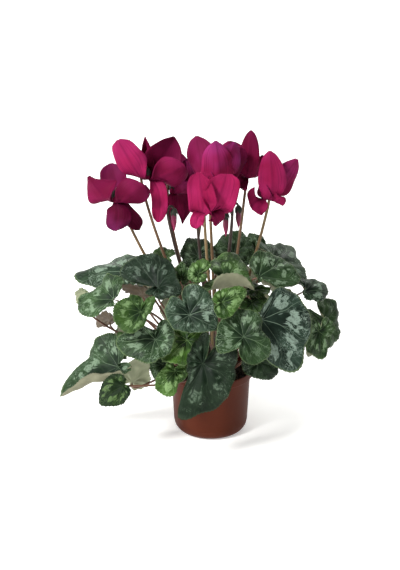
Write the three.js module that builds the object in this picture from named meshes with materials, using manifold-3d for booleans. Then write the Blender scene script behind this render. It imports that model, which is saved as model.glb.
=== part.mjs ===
// Potted cyclamen: a plastic pot, soil, the tuber, leaves on their stalks, nodding blooms and buds.
// Millimetres, +Z up. The origin is the middle of the pot's flat base.

import * as THREE from "three";
import { mergeVertices } from "three/addons/utils/BufferGeometryUtils.js";
import Module from "manifold-3d";

const wasm = await Module();
wasm.setup();

// Driving dimensions of the pot, the soil and the tuber
const POT_HEIGHT = 82;
const POT_RIM_RADIUS = 52.5;
const POT_BODY_RADIUS = 49.2;
const POT_FOOT_RADIUS = 38;
const POT_WALL = 1.5;
const POT_FLOOR = 2.8;
const POT_SIDES = 24;
const RIM_BAND = 10;
const FOOT_GROOVE = [20, 34.5];
const GROOVE_DEPTH = 1.2;
const DRAIN_HOLES = 6;
const DRAIN_RADIUS = 3.2;
const DRAIN_RING = 27;
const GAP = 0.35;
const SOIL_TOP = 74.5;
const SOIL_RADIUS = 46.6;
const SOIL_SIDES = 18;
const TUBER_RADIUS = 31;
const TUBER_HALF_HEIGHT = 16;
const TUBER_MIDDLE = 63;
const TUBER_SIDES = 14;
const CROWN_TOP = 78;
const CROWN_RADIUS = 26;

// The pot's round bottom corner, outside and inside, as [radius, height]
const CORNER_OUTSIDE = [[42.6, 2.2], [45.4, 6.4], [46.5, 12]];
const CORNER_INSIDE = [[44.6, 10], [38.6, POT_FLOOR]];

// How the stems stand in the tuber's crown
const STEM_RING = 24;
const STEM_SPACING = 6.1;
const STEM_ROOM = 0.45;
const STEM_LEAN = 62;
const ROOT_DEPTH = 4.5;
const ROOT_RISE = 2;
const ROOT_LEAN = 32;
const PETIOLE_RADIUS = 1.5;
const SCAPE_RADIUS = 1.7;
const STEM_SIDES = 5;
const STALK_STEPS = 4;

// Leaf blades
const BLADE_THICKNESS = 1.0;
const SMALL_LEAF = 45;
const SMALL_SPOKES = 16;
const LARGE_SPOKES = 18;
const NOTCH_REACH = 0.1;
const MARGIN_FACETS = 0.03;
const NOTCH_UPTURN = 0.1;
const FOLD_SOFTNESS = 0.1;

// Petals, and the short tube that they grow from
const PETAL_THICKNESS = 0.9;
const PETAL_START = 2.4;
const PETAL_SPREAD = 9;
const PETAL_DROP = 2;
const PETAL_SWEEP = [0.45, 10];
const PETAL_TURNED_AT = 0.55;
const NARROW_PETAL = 24;
const TUBE_LENGTH = 9;
const MOUTH_RADIUS = 4.2;
const TUBE_SIDES = 5;
const TUBE_PROFILE = [[0, 0], [MOUTH_RADIUS, 0], [MOUTH_RADIUS, 3], [3, TUBE_LENGTH], [0, TUBE_LENGTH]];
const CALYX_PROFILE = [[0, 0], [3.9, 0], [2.9, 3.4], [0, 4.4]];

// The hook at a flower stalk's end, as [aside, up] from the flower's top, and how far below it the stalk
// arrives
const HOOK_ASIDE = 7.2;
const HOOK_LINE = [[7, 1.4], [4.8, 6.4], [1.4, 6], [0, 0.4]];
const BLOOM_HOOK_DROP = 14;
const BUD_HOOK_DROP = 6;
const HOOK_ROOM = 65;
const BUD_WIDEST = 3.3;
const BUD_NECK = 2.4;
const BUD_SIDES = 6;

const SEED = 7;

// How far a leaf reaches from its stalk, as a share of its length, by the angle from its tip
const LEAF_REACH = [
  [0, 1.0],
  [15, 0.93],
  [30, 0.86],
  [60, 0.77],
  [90, 0.73],
  [120, 0.71],
  [145, 0.66],
  [160, 0.56],
  [172, 0.33],
  [180, 0.1],
];

// Each leaf: node, place of the top of its stalk, [facing, droop, spin] in degrees, length from stalk to
// tip, breadth as a share of round, [dome, fold, wave, waves, phase], curls as [towards, start, radius,
// sense], the stalk's [bow, rise], and its own outline as [angle from the tip, reach] where it isn't the
// common one. Rows of the same node share a root.
const LEAVES = [
  ["leaf_01", [-101, 14, 201], [-130, 35, -70], 75, 1, [0.08, -0.4, 0.04, 5, 40], [], [0, 0], [
    [-150, 0.4], [-100, 0.4], [-60, 0.55], [-30, 0.7], [-10, 1], [0, 1.05], [20, 0.7], [50, 0.4],
    [110, 0.3], [150, 0.35],
  ]],
  ["leaf_02", [-62, -54, 205], [-110, 45, 108], 42, 1, [0.08, 0.1, 0.05, 5, 0], [], [0, 0], [
    [-160, 0.35], [-115, 0.3], [-70, 0.45], [-40, 0.65], [-10, 0.7], [10, 0.6], [40, 0.7], [80, 0.95],
    [110, 1.15], [135, 1.3], [155, 1.1], [170, 0.4],
  ]],
  ["leaf_03", [-113, -52, 190], [-130, 50, -71], 49, 1, [0.08, 0.12, 0.05, 5, 90], [], [0, 0], [
    [-140, 0.4], [-85, 0.6], [-65, 0.7], [-45, 0.65], [-20, 0.8], [-5, 1.1], [15, 1], [30, 0.8],
    [65, 0.3], [105, 0.2],
  ]],
  ["leaf_04", [-152, -8, 175], [-130, -60, -122], 26, 0.7, [0.15, 0.1, 0.04, 4, 0], [], [-8, -10], []],
  ["leaf_05", [-80, -86, 188], [-98, 50, -17], 34, 1, [-0.12, 0.16, 0.05, 5, 30], [], [0, 0], [
    [-180, 0.3], [-155, 0.5], [-120, 0.6], [-80, 0.85], [-35, 0.9], [0, 0.85], [30, 0.6], [65, 0.35],
    [125, 0.45], [155, 0.65], [180, 0.3],
  ]],
  ["leaf_06", [-81, -26, 185], [-110, -50, -47], 30, 0.8, [0.15, 0.1, 0.04, 4, 0], [], [0, 0], []],
  ["leaf_07", [-122, -18, 149], [-120, -40, -127], 38, 0.5, [0.2, 0.3, 0.04, 4, 0], [], [-16, 0], []],
  ["leaf_08", [-110, -60, 108], [-125, 60, -52], 70, 1, [0.06, 0.1, 0.04, 5, 70],
   [[80, 0.12, 8, 1]], [0, 0], [
    [-140, 0.4], [-105, 0.55], [-80, 0.65], [-40, 0.65], [-20, 0.95], [0, 1.25], [15, 0.95], [35, 0.75],
    [60, 0.6], [90, 0.5], [130, 0.4], [160, 0.35],
  ]],
  ["leaf_09", [-108, -38, 127], [-140, 60, 60], 22, 1, [0.1, 0.1, 0.05, 5, 0], [], [0, 0], []],
  ["leaf_10", [-64, -88, 155], [-105, 45, 0], 40, 1, [0.08, 0.14, 0.06, 5, 20], [], [-8, 0], [
    [-180, 0.25], [-140, 0.35], [-110, 0.7], [-85, 1.1], [-60, 1.05], [-35, 0.8], [0, 0.75], [30, 0.65],
    [85, 0.6], [140, 0.6], [165, 0.6], [180, 0.25],
  ]],
  ["leaf_11", [-95, -50, 83], [-80, -70, 25], 41, 1, [0.06, 0.05, 0.03, 4, 0], [], [0, 0], [
    [-150, 0.35], [-100, 0.45], [-45, 0.6], [-20, 1], [0, 0.95], [35, 0.6], [70, 0.55], [115, 0.55],
    [150, 0.4],
  ]],
  ["leaf_12", [-102, -88, 97], [-105, 65, -50], 28, 1, [0.1, 0.1, 0.05, 5, 0], [], [24, -10], [
    [-150, 0.35], [-100, 0.55], [-40, 0.9], [-15, 1.15], [0, 1.3], [25, 1], [55, 0.75], [85, 0.55],
    [120, 0.4],
  ]],
  ["leaf_13", [-28, -77, 149], [-100, 30, -37], 38, 1, [0.1, 0.05, 0.05, 5, 0],
   [[90, 0.08, 12, -1]], [0, 0], []],
  ["leaf_14", [-42, -76, 110], [-100, 65, 0], 26, 1, [0.1, 0.1, 0.05, 5, 50], [], [0, 0], [
    [-140, 0.45], [-100, 0.55], [-60, 1], [-40, 1.2], [0, 1.1], [20, 0.6], [80, 0.6], [120, 0.55],
  ]],
  ["leaf_15", [-25, -98, 189], [-92, 55, 28], 41, 1, [0.12, 0.1, 0.06, 6, 0], [], [12, 0], [
    [-180, 0.4], [-165, 0.65], [-145, 0.7], [-90, 0.6], [-25, 0.5], [0, 0.55], [15, 0.65], [35, 0.85],
    [60, 0.75], [95, 0.75], [125, 0.85], [150, 0.85], [165, 0.8], [180, 0.4],
  ]],
  ["leaf_16", [-10, -98, 130], [-92, 76, -24], 62, 1, [0.06, 0.14, 0.07, 6, 30], [], [0, 0], [
    [-165, 0.6], [-140, 0.45], [-110, 0.35], [-65, 0.3], [-20, 0.4], [-8, 0.75], [0, 1.1], [20, 0.95],
    [35, 0.9], [60, 0.75], [105, 0.6], [160, 0.65],
  ]],
  ["leaf_17", [35, -109, 167], [-85, 62, 150], 33, 1, [-0.02, -0.1, 0.1, 4, 60], [], [-8, 0], [
    [-180, 0.4], [-160, 0.75], [-130, 1], [-100, 1.05], [-70, 0.9], [-42, 0.65], [-20, 0.85], [10, 0.95],
    [50, 0.95], [90, 0.95], [125, 0.95], [150, 1], [168, 0.6], [180, 0.4],
  ]],
  ["leaf_18", [57, -74, 174], [-75, 60, 26], 71, 1, [0.08, -0.04, 0.05, 6, 0], [], [0, 0], [
    [-100, 0.25], [-55, 0.35], [-38, 0.5], [-22, 0.7], [0, 1], [25, 0.85], [45, 0.9], [75, 0.8],
    [105, 0.7], [120, 0.6], [140, 0.25],
  ]],
  ["leaf_19", [136, -6, 142], [-40, 60, 23], 34, 1, [0.1, 0.1, 0.05, 5, 0], [], [0, 0], [
    [-165, 0.85], [-110, 1.05], [-75, 1.1], [-45, 0.95], [0, 0.9], [50, 0.9], [75, 1.05], [92, 1.2],
    [115, 1], [150, 0.9],
  ]],
  ["leaf_20", [126, -46, 148], [-55, 65, -6], 32, 1, [0.1, 0.16, 0.05, 5, 0], [], [0, 0], [
    [-165, 0.5], [-130, 0.6], [-75, 0.85], [-50, 1], [-25, 0.95], [0, 1.05], [20, 0.75], [45, 0.45],
    [75, 0.6], [100, 0.7], [155, 0.5],
  ]],
  ["leaf_21", [112, -14, 186], [-50, 45, 70], 32, 0.9, [0.12, -0.1, 0.05, 5, 0], [], [0, 0], [
    [-125, 0.35], [-70, 0.45], [-35, 0.75], [0, 1.1], [20, 1.3], [40, 1.1], [70, 0.65], [115, 0.55],
  ]],
  ["leaf_22", [55, -40, 213], [-70, 40, 78], 46, 1, [0.1, 0.1, 0.05, 5, 20], [], [-16, 20], [
    [-90, 0.15], [-50, 0.2], [-25, 0.6], [0, 1.1], [20, 1.05], [50, 0.9], [90, 0.7], [130, 0.4],
    [180, 0.15],
  ]],
  ["leaf_23", [78, 24, 208], [-30, 30, 23], 46, 1, [0.1, 0.1, 0.05, 5, 0], [], [0, 0], [
    [-145, 0.75], [-110, 0.9], [-40, 0.75], [0, 0.95], [35, 1], [55, 1.1], [72, 1.4], [85, 1.1],
    [100, 0.8], [165, 0.7],
  ]],
  ["leaf_24", [15, -46, 210], [-90, 28, 70], 36, 1, [0.1, 0.06, 0.05, 5, 0],
   [[-62, 0.15, 18, 1]], [0, 0], [
    [-140, 0.7], [-105, 0.9], [-80, 1.3], [-60, 1.4], [-35, 1.3], [0, 1], [30, 0.85], [60, 0.95],
    [90, 1.2], [105, 1.3], [125, 1.1], [150, 0.8],
  ]],
  ["leaf_35", [-15, -60, 223], [-100, 50, -69], 21, 1, [0.1, 0.1, 0.05, 5, 0], [], [0, 0], [
    [-165, 0.8], [-130, 0.9], [-90, 0.75], [-40, 0.6], [0, 0.6], [60, 0.5], [150, 0.5],
  ]],
  ["leaf_25", [11, -100, 205], [-80, 58, 107], 26, 1, [0.05, 0.2, 0.06, 4, 0], [], [0, 0], [
    [-180, 0.3], [-150, 0.6], [-115, 0.75], [-60, 0.7], [-25, 0.8], [0, 1.15], [20, 1.05], [40, 0.7],
    [90, 0.5], [145, 0.45], [180, 0.3],
  ]],
  ["leaf_26", [47, -26, 190], [-60, 10, 86], 26, 0.9, [0.15, 0.1, 0.05, 5, 0], [], [0, 0], []],
  ["leaf_26", [48, -40, 181], [-80, 60, 35], 23, 1, [0.1, 0.1, 0.05, 5, 0], [], [0, 0], []],
  ["leaf_28", [55, -62, 117], [-70, 75, 24], 30, 1, [0.1, 0.1, 0.06, 5, 0], [], [0, 0], [
    [-160, 0.65], [-120, 0.75], [-60, 0.7], [-30, 0.7], [0, 0.9], [32, 0.95], [60, 0.6], [130, 0.4],
  ]],
  ["leaf_29", [-56, 22, 214], [-120, 40, -79], 24, 1, [0.1, 0.1, 0.05, 5, 0], [], [0, 0], [
    [-160, 0.6], [-100, 0.6], [-30, 0.9], [-8, 1], [35, 0.6], [105, 0.45], [160, 0.55],
  ]],
  ["leaf_29", [-35, -6, 199], [-100, 50, -179], 18, 0.8, [-0.3, 0.2, 0.05, 5, 0], [], [0, 0], []],
  ["leaf_27", [-58, -42, 103], [-100, 70, -30], 20, 1, [0.1, 0.1, 0.05, 5, 0], [], [0, 0], []],
  ["leaf_33", [-15, 30, 215], [-95, 45, -153], 29, 1, [0.1, 0.1, 0.06, 5, 0], [], [0, 0], []],
  ["leaf_34", [28, 44, 214], [-85, 45, 162], 34, 1, [0.1, 0.1, 0.06, 5, 50], [], [0, 0], []],
  ["leaf_34", [56, 56, 219], [-80, 60, -165], 19, 1, [0.1, 0.3, 0.06, 5, 0], [], [0, 0], []],
];

// How wide a petal is, as a share of its width, by the share of the way to its tip
const PETAL_FORMS = {
  broad: [[0, 0.18], [0.1, 0.28], [0.28, 0.76], [0.5, 1], [0.72, 0.88], [0.9, 0.52], [1, 0.06]],
  full: [[0, 0.22], [0.08, 0.42], [0.25, 0.93], [0.5, 1], [0.75, 0.85], [0.92, 0.45], [1, 0.06]],
  oval: [[0, 0.16], [0.1, 0.26], [0.3, 0.68], [0.6, 1], [0.82, 0.8], [0.95, 0.42], [1, 0.06]],
  round: [[0, 0.2], [0.1, 0.3], [0.3, 0.78], [0.6, 1], [0.82, 0.88], [0.94, 0.56], [1, 0.1]],
  pointed: [[0, 0.18], [0.1, 0.28], [0.3, 0.76], [0.5, 1], [0.75, 0.66], [0.9, 0.27], [1, 0.04]],
  late: [[0, 0.16], [0.15, 0.22], [0.35, 0.58], [0.6, 1], [0.8, 0.94], [0.94, 0.6], [1, 0.1]],
  square: [[0, 0.22], [0.08, 0.42], [0.25, 0.9], [0.5, 1], [0.8, 0.97], [0.94, 0.75], [1, 0.35]],
  blunt: [[0, 0.22], [0.08, 0.4], [0.25, 0.88], [0.5, 1], [0.78, 0.92], [0.93, 0.62], [1, 0.15]],
  blade: [[0, 0.4], [0.2, 0.8], [0.5, 1], [0.75, 0.95], [0.9, 0.6], [1, 0.06]],
};

// Each bloom: node, middle of its mouth, the side its stalk hooks over from in degrees, its stalk's
// [bow, rise], and its petals as [tip from the mouth, width, facing in degrees, cup, sideways bow, form]
const BLOOMS = [
  ["bloom_1", [-111, -12, 296], 30, [-8, 0], [
    [[-31, 0, 30], 44, -110, 0.12, 3, "pointed"],
    [[-7, 34, 38], 34, -100, 0.1, -3, "round"],
    [[-1, -8, -33], 31, -100, -0.12, 5, "round"],
    [[34, -14, 24], 36, -85, 0.22, -3, "round"],
    [[26, 12, -36], 20, -60, 0.1, -3, "round"],
  ]],
  ["bloom_2", [-75, 4, 319], 160, [16, 0], [
    [[12, -6, -51], 20, -95, 0.1, 3, "blunt"],
    [[31, 22, 46], 48, -70, 0.15, 4, "broad"],
    [[-2, 12, 48], 15, -90, 0.5, -2, "broad"],
    [[-31, -16, 50], 36, -105, 0.1, 2, "late"],
    [[44, -6, 18], 38, -70, 0.15, 0, "round"],
  ]],
  ["bloom_3", [-46, 30, 296], 150, [16, 0], [
    [[0, -10, -44], 14, -110, 0.2, 0, "blade"],
    [[17, -6, 43], 35, -80, 0.14, 6, "broad"],
    [[21, -16, 18], 26, -70, 0.14, 0, "oval"],
    [[11, 10, -42], 28, -80, 0.1, -4, "pointed"],
    [[6, 22, 45], 36, -80, 0.1, 0, "oval"],
  ]],
  ["bloom_4", [1, 0, 318], 118, [0, 0], [
    [[-19, 14, 50], 40, -115, 0.14, 4, "round"],
    [[3, -14, 50], 40, -80, 0.2, 5, "full"],
    [[25, -5, 47], 36, -75, 0.12, -3, "broad"],
    [[34, 8, 38], 32, -70, 0.1, 0, "round"],
    [[17, 10, -40], 14, -80, 0.1, -13, "blade"],
  ]],
  ["bloom_5", [-6, -48, 294], 110, [0, 0], [
    [[-8, -4, 46], 33, -98, -0.1, 6, "blunt"],
    [[-11, -8, -17], 16, -100, 0.1, 0, "blade"],
    [[9, -2, -16], 20, -80, 0.1, 0, "pointed"],
    [[22, -2, 44], 39, -82, -0.1, -3, "square"],
    [[17, 18, 32], 30, 50, 0.1, 0, "oval"],
  ]],
  ["bloom_6", [46, 30, 315], 120, [0, 0], [
    [[0, -8, 58], 25, -100, 0.12, -2, "oval"],
    [[-25, 4, 43], 39, -105, 0.12, -2, "round"],
    [[-16, -16, -8], 22, -100, 0.1, 0, "oval"],
    [[14, 0, 27], 20, -60, 0.1, 0, "oval"],
    [[1, 20, 31], 26, 60, 0.1, 0, "oval"],
  ]],
  ["bloom_7", [63, -18, 301], 60, [0, 0], [
    [[4, 20, 34], 26, 130, 0.1, 0, "oval"],
    [[-18, -20, -5], 33, -110, 0.12, -3, "round"],
    [[2, -8, 58], 33, -95, 0.12, 3, "oval"],
    [[17, -12, 6], 18, -80, 0.12, 0, "oval"],
    [[34, 4, 46], 36, -75, 0.1, -7, "broad"],
  ]],
  ["bloom_8", [-10, 92, 265], 270, [16, 0], [
    [[24, 10, 40], 30, 60, 0.1, 0, "broad"],
    [[20, 24, 30], 30, 70, 0.1, 2, "oval"],
    [[-4, 22, 44], 32, 90, 0.1, -2, "pointed"],
    [[-26, 10, 36], 30, 120, 0.1, 0, "broad"],
    [[-20, -8, 44], 28, 200, 0.1, 2, "oval"],
  ]],
];

// Each bud: node, the bottom of its hook, the side it hooks over from in degrees, its length, and its
// stalk's [bow, rise]
const BUDS = [
  ["bud_1", [-44, 2, 280], 180, 24, [-16, 0]],
  ["bud_2", [-10, 8, 280], 180, 21, [0, 0]],
  ["bud_3", [17, -8, 278], 0, 26, [16, 0]],
  ["bud_4", [32, 0, 284], 180, 24, [8, 0]],
];

// Leaves of the far side, in three rings; neighbours share a root on the tuber two by two
const BACK_RINGS = [
  { count: 4, from: 22, step: 42, radius: 112, height: 124, droop: 62, length: 48 },
  { count: 4, from: 34, step: 36, radius: 98, height: 170, droop: 50, length: 44 },
  { count: 1, from: 82, step: 0, radius: 80, height: 196, droop: 36, length: 38 },
];

const DEGREES = Math.PI / 180;
const vector = (list) => new THREE.Vector3(...list);

// A repeatable draw between 0 and 1
function seededDraw(seed) {
  let state = seed;
  return () => {
    state = (state * 16807) % 2147483647;
    return state / 2147483647;
  };
}

// A smooth curve through [place, value] stations
function through(stations, place) {
  let last = 1;
  while (last < stations.length - 1 && place > stations[last][0]) last += 1;
  const slope = (index) => {
    const before = stations[Math.max(0, index - 1)];
    const after = stations[Math.min(stations.length - 1, index + 1)];
    return (after[1] - before[1]) / (after[0] - before[0]);
  };
  const [x0, y0] = stations[last - 1];
  const [x1, y1] = stations[last];
  const width = x1 - x0;
  const u = (place - x0) / width;
  const hump = u * (1 - u);
  const ease = u * u * (3 - 2 * u);
  return y0 + (y1 - y0) * ease + width * hump * ((1 - u) * slope(last - 1) - u * slope(last));
}

// A closed solid from points and triangles
function solidOf(points, triangles) {
  const vertProperties = new Float32Array(points.flatMap((p) => [p.x, p.y, p.z]));
  const made = new wasm.Manifold(
    new wasm.Mesh({ numProp: 3, vertProperties, triVerts: new Uint32Array(triangles.flat()) }),
  );
  if (made.volume() >= 0) return made;
  return solidOf(points, triangles.map(([a, b, c]) => [a, c, b]));
}

// A solid from a three.js geometry
function solidOfGeometry(geometry) {
  geometry.deleteAttribute("normal");
  geometry.deleteAttribute("uv");
  const merged = mergeVertices(geometry, 1e-3);
  const place = merged.attributes.position;
  const points = [];
  for (let i = 0; i < place.count; i += 1) points.push(new THREE.Vector3().fromBufferAttribute(place, i));
  const triangles = [];
  for (let i = 0; i < merged.index.count; i += 3) {
    const corners = [0, 1, 2].map((k) => merged.index.getX(i + k));
    if (new Set(corners).size === 3) triangles.push(corners);
  }
  return solidOf(points, triangles);
}

// A solid of revolution about the pot's axis
function turned(profile, sides) {
  const outline = profile.map(([radius, height]) => new THREE.Vector2(radius, height));
  return solidOfGeometry(new THREE.LatheGeometry(outline, sides).rotateX(Math.PI / 2));
}

// A blade of even thickness over a middle surface: both faces share one triangulation
function thicken(points, triangles, thickness) {
  const normals = points.map(() => new THREE.Vector3());
  const sideOf = new Map();
  for (const [a, b, c] of triangles) {
    const face = points[b].clone().sub(points[a]).cross(points[c].clone().sub(points[a]));
    for (const corner of [a, b, c]) normals[corner].add(face);
    for (const [from, to] of [[a, b], [b, c], [c, a]]) {
      if (!sideOf.delete(`${to},${from}`)) sideOf.set(`${from},${to}`, [from, to]);
    }
  }
  const shifted = (share) => points.map((point, i) => (
    point.clone().addScaledVector(normals[i].clone().normalize(), share * thickness)
  ));
  const count = points.length;
  const faces = [];
  for (const [a, b, c] of triangles) {
    faces.push([a, b, c]);
    faces.push([a + count, c + count, b + count]);
  }
  for (const [from, to] of sideOf.values()) {
    faces.push([from, from + count, to + count]);
    faces.push([from, to + count, to]);
  }
  return solidOf([...shifted(0.5), ...shifted(-0.5)], faces);
}

// A round stem along points, with a radius at each
function stem(points, radii, sides) {
  const rings = [];
  let across = new THREE.Vector3(1, 0, 0);
  points.forEach((point, index) => {
    const before = points[Math.max(0, index - 1)];
    const after = points[Math.min(points.length - 1, index + 1)];
    const along = after.clone().sub(before).normalize();
    across = across.clone().addScaledVector(along, -across.dot(along)).normalize();
    const up = along.clone().cross(across);
    for (let k = 0; k < sides; k += 1) {
      const turn = (k / sides) * 2 * Math.PI;
      rings.push(point.clone()
        .addScaledVector(across, Math.cos(turn) * radii[index])
        .addScaledVector(up, Math.sin(turn) * radii[index]));
    }
  });
  const faces = [];
  for (let i = 0; i < points.length - 1; i += 1) {
    for (let k = 0; k < sides; k += 1) {
      const next = (k + 1) % sides;
      const [a, b] = [i * sides + k, i * sides + next];
      faces.push([a, b, b + sides], [a, b + sides, a + sides]);
    }
  }
  const end = (points.length - 1) * sides;
  for (let k = 1; k < sides - 1; k += 1) {
    faces.push([0, k + 1, k], [end, end + k, end + k + 1]);
  }
  return solidOf(rings, faces);
}

// Where each stem stands on the tuber's crown: steep ones in the middle, low ones round the outside
function crownPlaces(aims) {
  const places = aims.map(([x, y, z], index) => {
    const steepness = Math.atan2(z - SOIL_TOP, Math.hypot(x, y)) / (Math.PI / 2);
    const radius = STEM_RING * Math.pow(Math.max(0, 1 - steepness), 0.7);
    const azimuth = Math.atan2(y, x) + index * 1e-3;
    return [radius * Math.cos(azimuth), radius * Math.sin(azimuth)];
  });
  for (let pass = 0; pass < 300; pass += 1) {
    for (let i = 0; i < places.length; i += 1) {
      for (let j = 0; j < i; j += 1) {
        const [dx, dy] = [places[i][0] - places[j][0], places[i][1] - places[j][1]];
        const apart = Math.hypot(dx, dy);
        if (apart >= STEM_SPACING) continue;
        const push = (STEM_SPACING - apart) / 2 / apart;
        places[i] = [places[i][0] + dx * push, places[i][1] + dy * push];
        places[j] = [places[j][0] - dx * push, places[j][1] - dy * push];
      }
    }
    for (const place of places) {
      const radius = Math.hypot(place[0], place[1]);
      if (radius > STEM_RING) {
        place[0] *= STEM_RING / radius;
        place[1] *= STEM_RING / radius;
      }
    }
  }
  return places;
}

// The straight root of a stem: where it leaves the tuber and its direction there
function rootAt([x, y]) {
  const radius = Math.hypot(x, y);
  const towards = (lean) => {
    const turn = lean * DEGREES * (radius / STEM_RING);
    const outward = radius > 0 ? Math.sin(turn) / radius : 0;
    return new THREE.Vector3(x * outward, y * outward, Math.cos(turn));
  };
  return { exit: new THREE.Vector3(x, y, CROWN_TOP), down: towards(ROOT_LEAN), along: towards(STEM_LEAN) };
}

// The frame of a leaf: its tip's direction, the direction across it and its face's normal
function leafFrame([facing, droop, spin]) {
  const [f, d, s] = [facing * DEGREES, droop * DEGREES, spin * DEGREES];
  const down = new THREE.Vector3(Math.cos(f) * Math.cos(d), Math.sin(f) * Math.cos(d), -Math.sin(d));
  const normal = new THREE.Vector3(Math.cos(f) * Math.sin(d), Math.sin(f) * Math.sin(d), Math.cos(d));
  const side = normal.clone().cross(down);
  const tip = down.clone().multiplyScalar(Math.cos(s)).addScaledVector(side, Math.sin(s));
  return { tip, side: normal.clone().cross(tip), normal };
}

// How far a leaf with its own outline reaches; both sides of its notch meet behind the stalk
function ownReach(outline, angle) {
  const ends = (side) => (outline.some(([at]) => at === side) ? [] : [[side, NOTCH_REACH]]);
  return Math.max(NOTCH_REACH, through([...ends(-180), ...outline, ...ends(180)], angle));
}

// A leaf's reach at an angle from its tip; a common outline is faceted a little
function leafReach([, , , , , [, , , , phase], , , outline], angle, share) {
  if (outline.length) return ownReach(outline, angle);
  const facets = MARGIN_FACETS * share * Math.cos((7 * angle + phase) * DEGREES);
  return through(LEAF_REACH, Math.abs(angle)) * (1 + facets);
}

// A point of a leaf's middle surface, at an angle from the tip and a share of the reach
function leafPoint(leaf, angle, share) {
  const [, hub, turn, length, breadth, [dome, fold, wave, waves, phase], curls] = leaf;
  const frame = leafFrame(turn);
  const reach = leafReach(leaf, angle, share);
  let u = share * reach * Math.cos(angle * DEGREES);
  let v = share * reach * breadth * Math.sin(angle * DEGREES);
  let w = -dome * (u * u + v * v) + fold * (Math.hypot(v, FOLD_SOFTNESS) - FOLD_SOFTNESS);
  w += wave * share ** 3 * Math.sin((waves * angle + phase) * DEGREES);
  w += NOTCH_UPTURN * share * share * Math.max(0, -Math.cos(angle * DEGREES)) ** 1.5;
  for (const [towards, start, radius, sense] of curls) {
    const [cu, cv] = [Math.cos(towards * DEGREES), Math.sin(towards * DEGREES)];
    const past = (u * cu + v * cv - start) * length;
    if (past <= 0) continue;
    const turned = past / radius;
    const out = radius * Math.sin(turned) - sense * w * length * Math.sin(turned);
    const shift = (out - past) / length;
    w = (sense * radius * (1 - Math.cos(turned))) / length + w * Math.cos(turned);
    u += shift * cu;
    v += shift * cv;
  }
  return vector(hub)
    .addScaledVector(frame.tip, u * length)
    .addScaledVector(frame.side, v * length)
    .addScaledVector(frame.normal, w * length);
}

// The blade: rings of points round the top of the stalk, closer together by the notch
function leafBlade(leaf) {
  const rolled = leaf[6].length > 0;
  const spokes = leaf[3] < SMALL_LEAF ? SMALL_SPOKES : LARGE_SPOKES;
  // Each ring: its share of the reach, and 2 where only every second spoke has a point
  const rings = rolled ? [[0.35, 2], [0.7, 1], [1, 1]] : [[0.55, 2], [1, 1]];
  const points = [leafPoint(leaf, 0, 0)];
  const angleOf = (k) => {
    const half = (2 * k) / spokes - 1;
    return Math.sign(half) * 180 * (1 - (1 - Math.abs(half)) ** 1.3);
  };
  const starts = [];
  for (const [share, skip] of rings) {
    starts.push(points.length);
    for (let k = 0; k < spokes; k += skip) points.push(leafPoint(leaf, angleOf(k), share));
  }
  const triangles = [];
  const half = spokes / 2;
  for (let k = 0; k < half; k += 1) {
    const [a, b] = [starts[0] + k, starts[0] + ((k + 1) % half)];
    const [p, q, r] = [2 * k, 2 * k + 1, (2 * k + 2) % spokes].map((i) => starts[1] + i);
    triangles.push([0, a, b], [a, p, q], [a, q, b], [b, q, r]);
  }
  for (let ring = 1; ring < starts.length - 1; ring += 1) {
    for (let k = 0; k < spokes; k += 1) {
      const next = (k + 1) % spokes;
      const [a, b] = [starts[ring] + k, starts[ring] + next];
      const [c, d] = [starts[ring + 1] + k, starts[ring + 1] + next];
      triangles.push([a, c, d], [a, d, b]);
    }
  }
  return thicken(points, triangles, BLADE_THICKNESS);
}

// The line of a stalk, from the bottom of its hole in the tuber to the top
function stalkLine(root, leave, top, arrive, [bow, rise]) {
  const start = root.exit.clone().addScaledVector(root.down, ROOT_RISE);
  const far = top.distanceTo(start);
  const aside = new THREE.Vector3(-top.y, top.x, 0).normalize().multiplyScalar(bow);
  aside.z = rise;
  const second = start.clone().addScaledVector(leave, far * 0.38).add(aside);
  const third = top.clone().addScaledVector(arrive, far * 0.3).addScaledVector(aside, 0.6);
  const curve = new THREE.CubicBezierCurve3(start, second, third, top);
  return [root.exit.clone().addScaledVector(root.down, -ROOT_DEPTH), ...curve.getPoints(STALK_STEPS)];
}

// Radii along a stalk that thins evenly to a share of its first one
function thinning(points, radius, share) {
  return points.map((_, i) => radius * (1 + (share - 1) * (i / (points.length - 1))));
}

function leafStalk(leaf, root) {
  const frame = leafFrame(leaf[2]);
  const arrive = frame.normal.clone().multiplyScalar(-0.8).addScaledVector(frame.tip, -0.5);
  const line = stalkLine(root, root.along, vector(leaf[1]), arrive, leaf[7]);
  return stem(line, thinning(line, PETIOLE_RADIUS, 0.8), STEM_SIDES);
}

// The far side's leaves, by rule with seeded draws
function backLeaves() {
  const draw = seededDraw(SEED);
  const vary = (size) => (draw() - 0.5) * 2 * size;
  const placed = [];
  for (const ring of BACK_RINGS) {
    for (let k = 0; k < ring.count; k += 1) {
      const azimuth = ring.from + ring.step * k + vary(3);
      const radius = ring.radius + vary(5);
      const turn = azimuth * DEGREES;
      const hub = [radius * Math.cos(turn), radius * Math.sin(turn), ring.height + vary(6)];
      const pose = [azimuth + vary(8), ring.droop + vary(5), vary(14)];
      const shape = [0.1, 0.1, 0.06, 5, vary(180)];
      placed.push({ azimuth, row: [hub, pose, ring.length + vary(3), 1, shape, [], [0, 0], []] });
    }
  }
  placed.sort((a, b) => a.azimuth - b.azimuth);
  return placed.map(({ row }, index) => [`leaf_back_${Math.floor(index / 2) + 1}`, ...row]);
}

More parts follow.
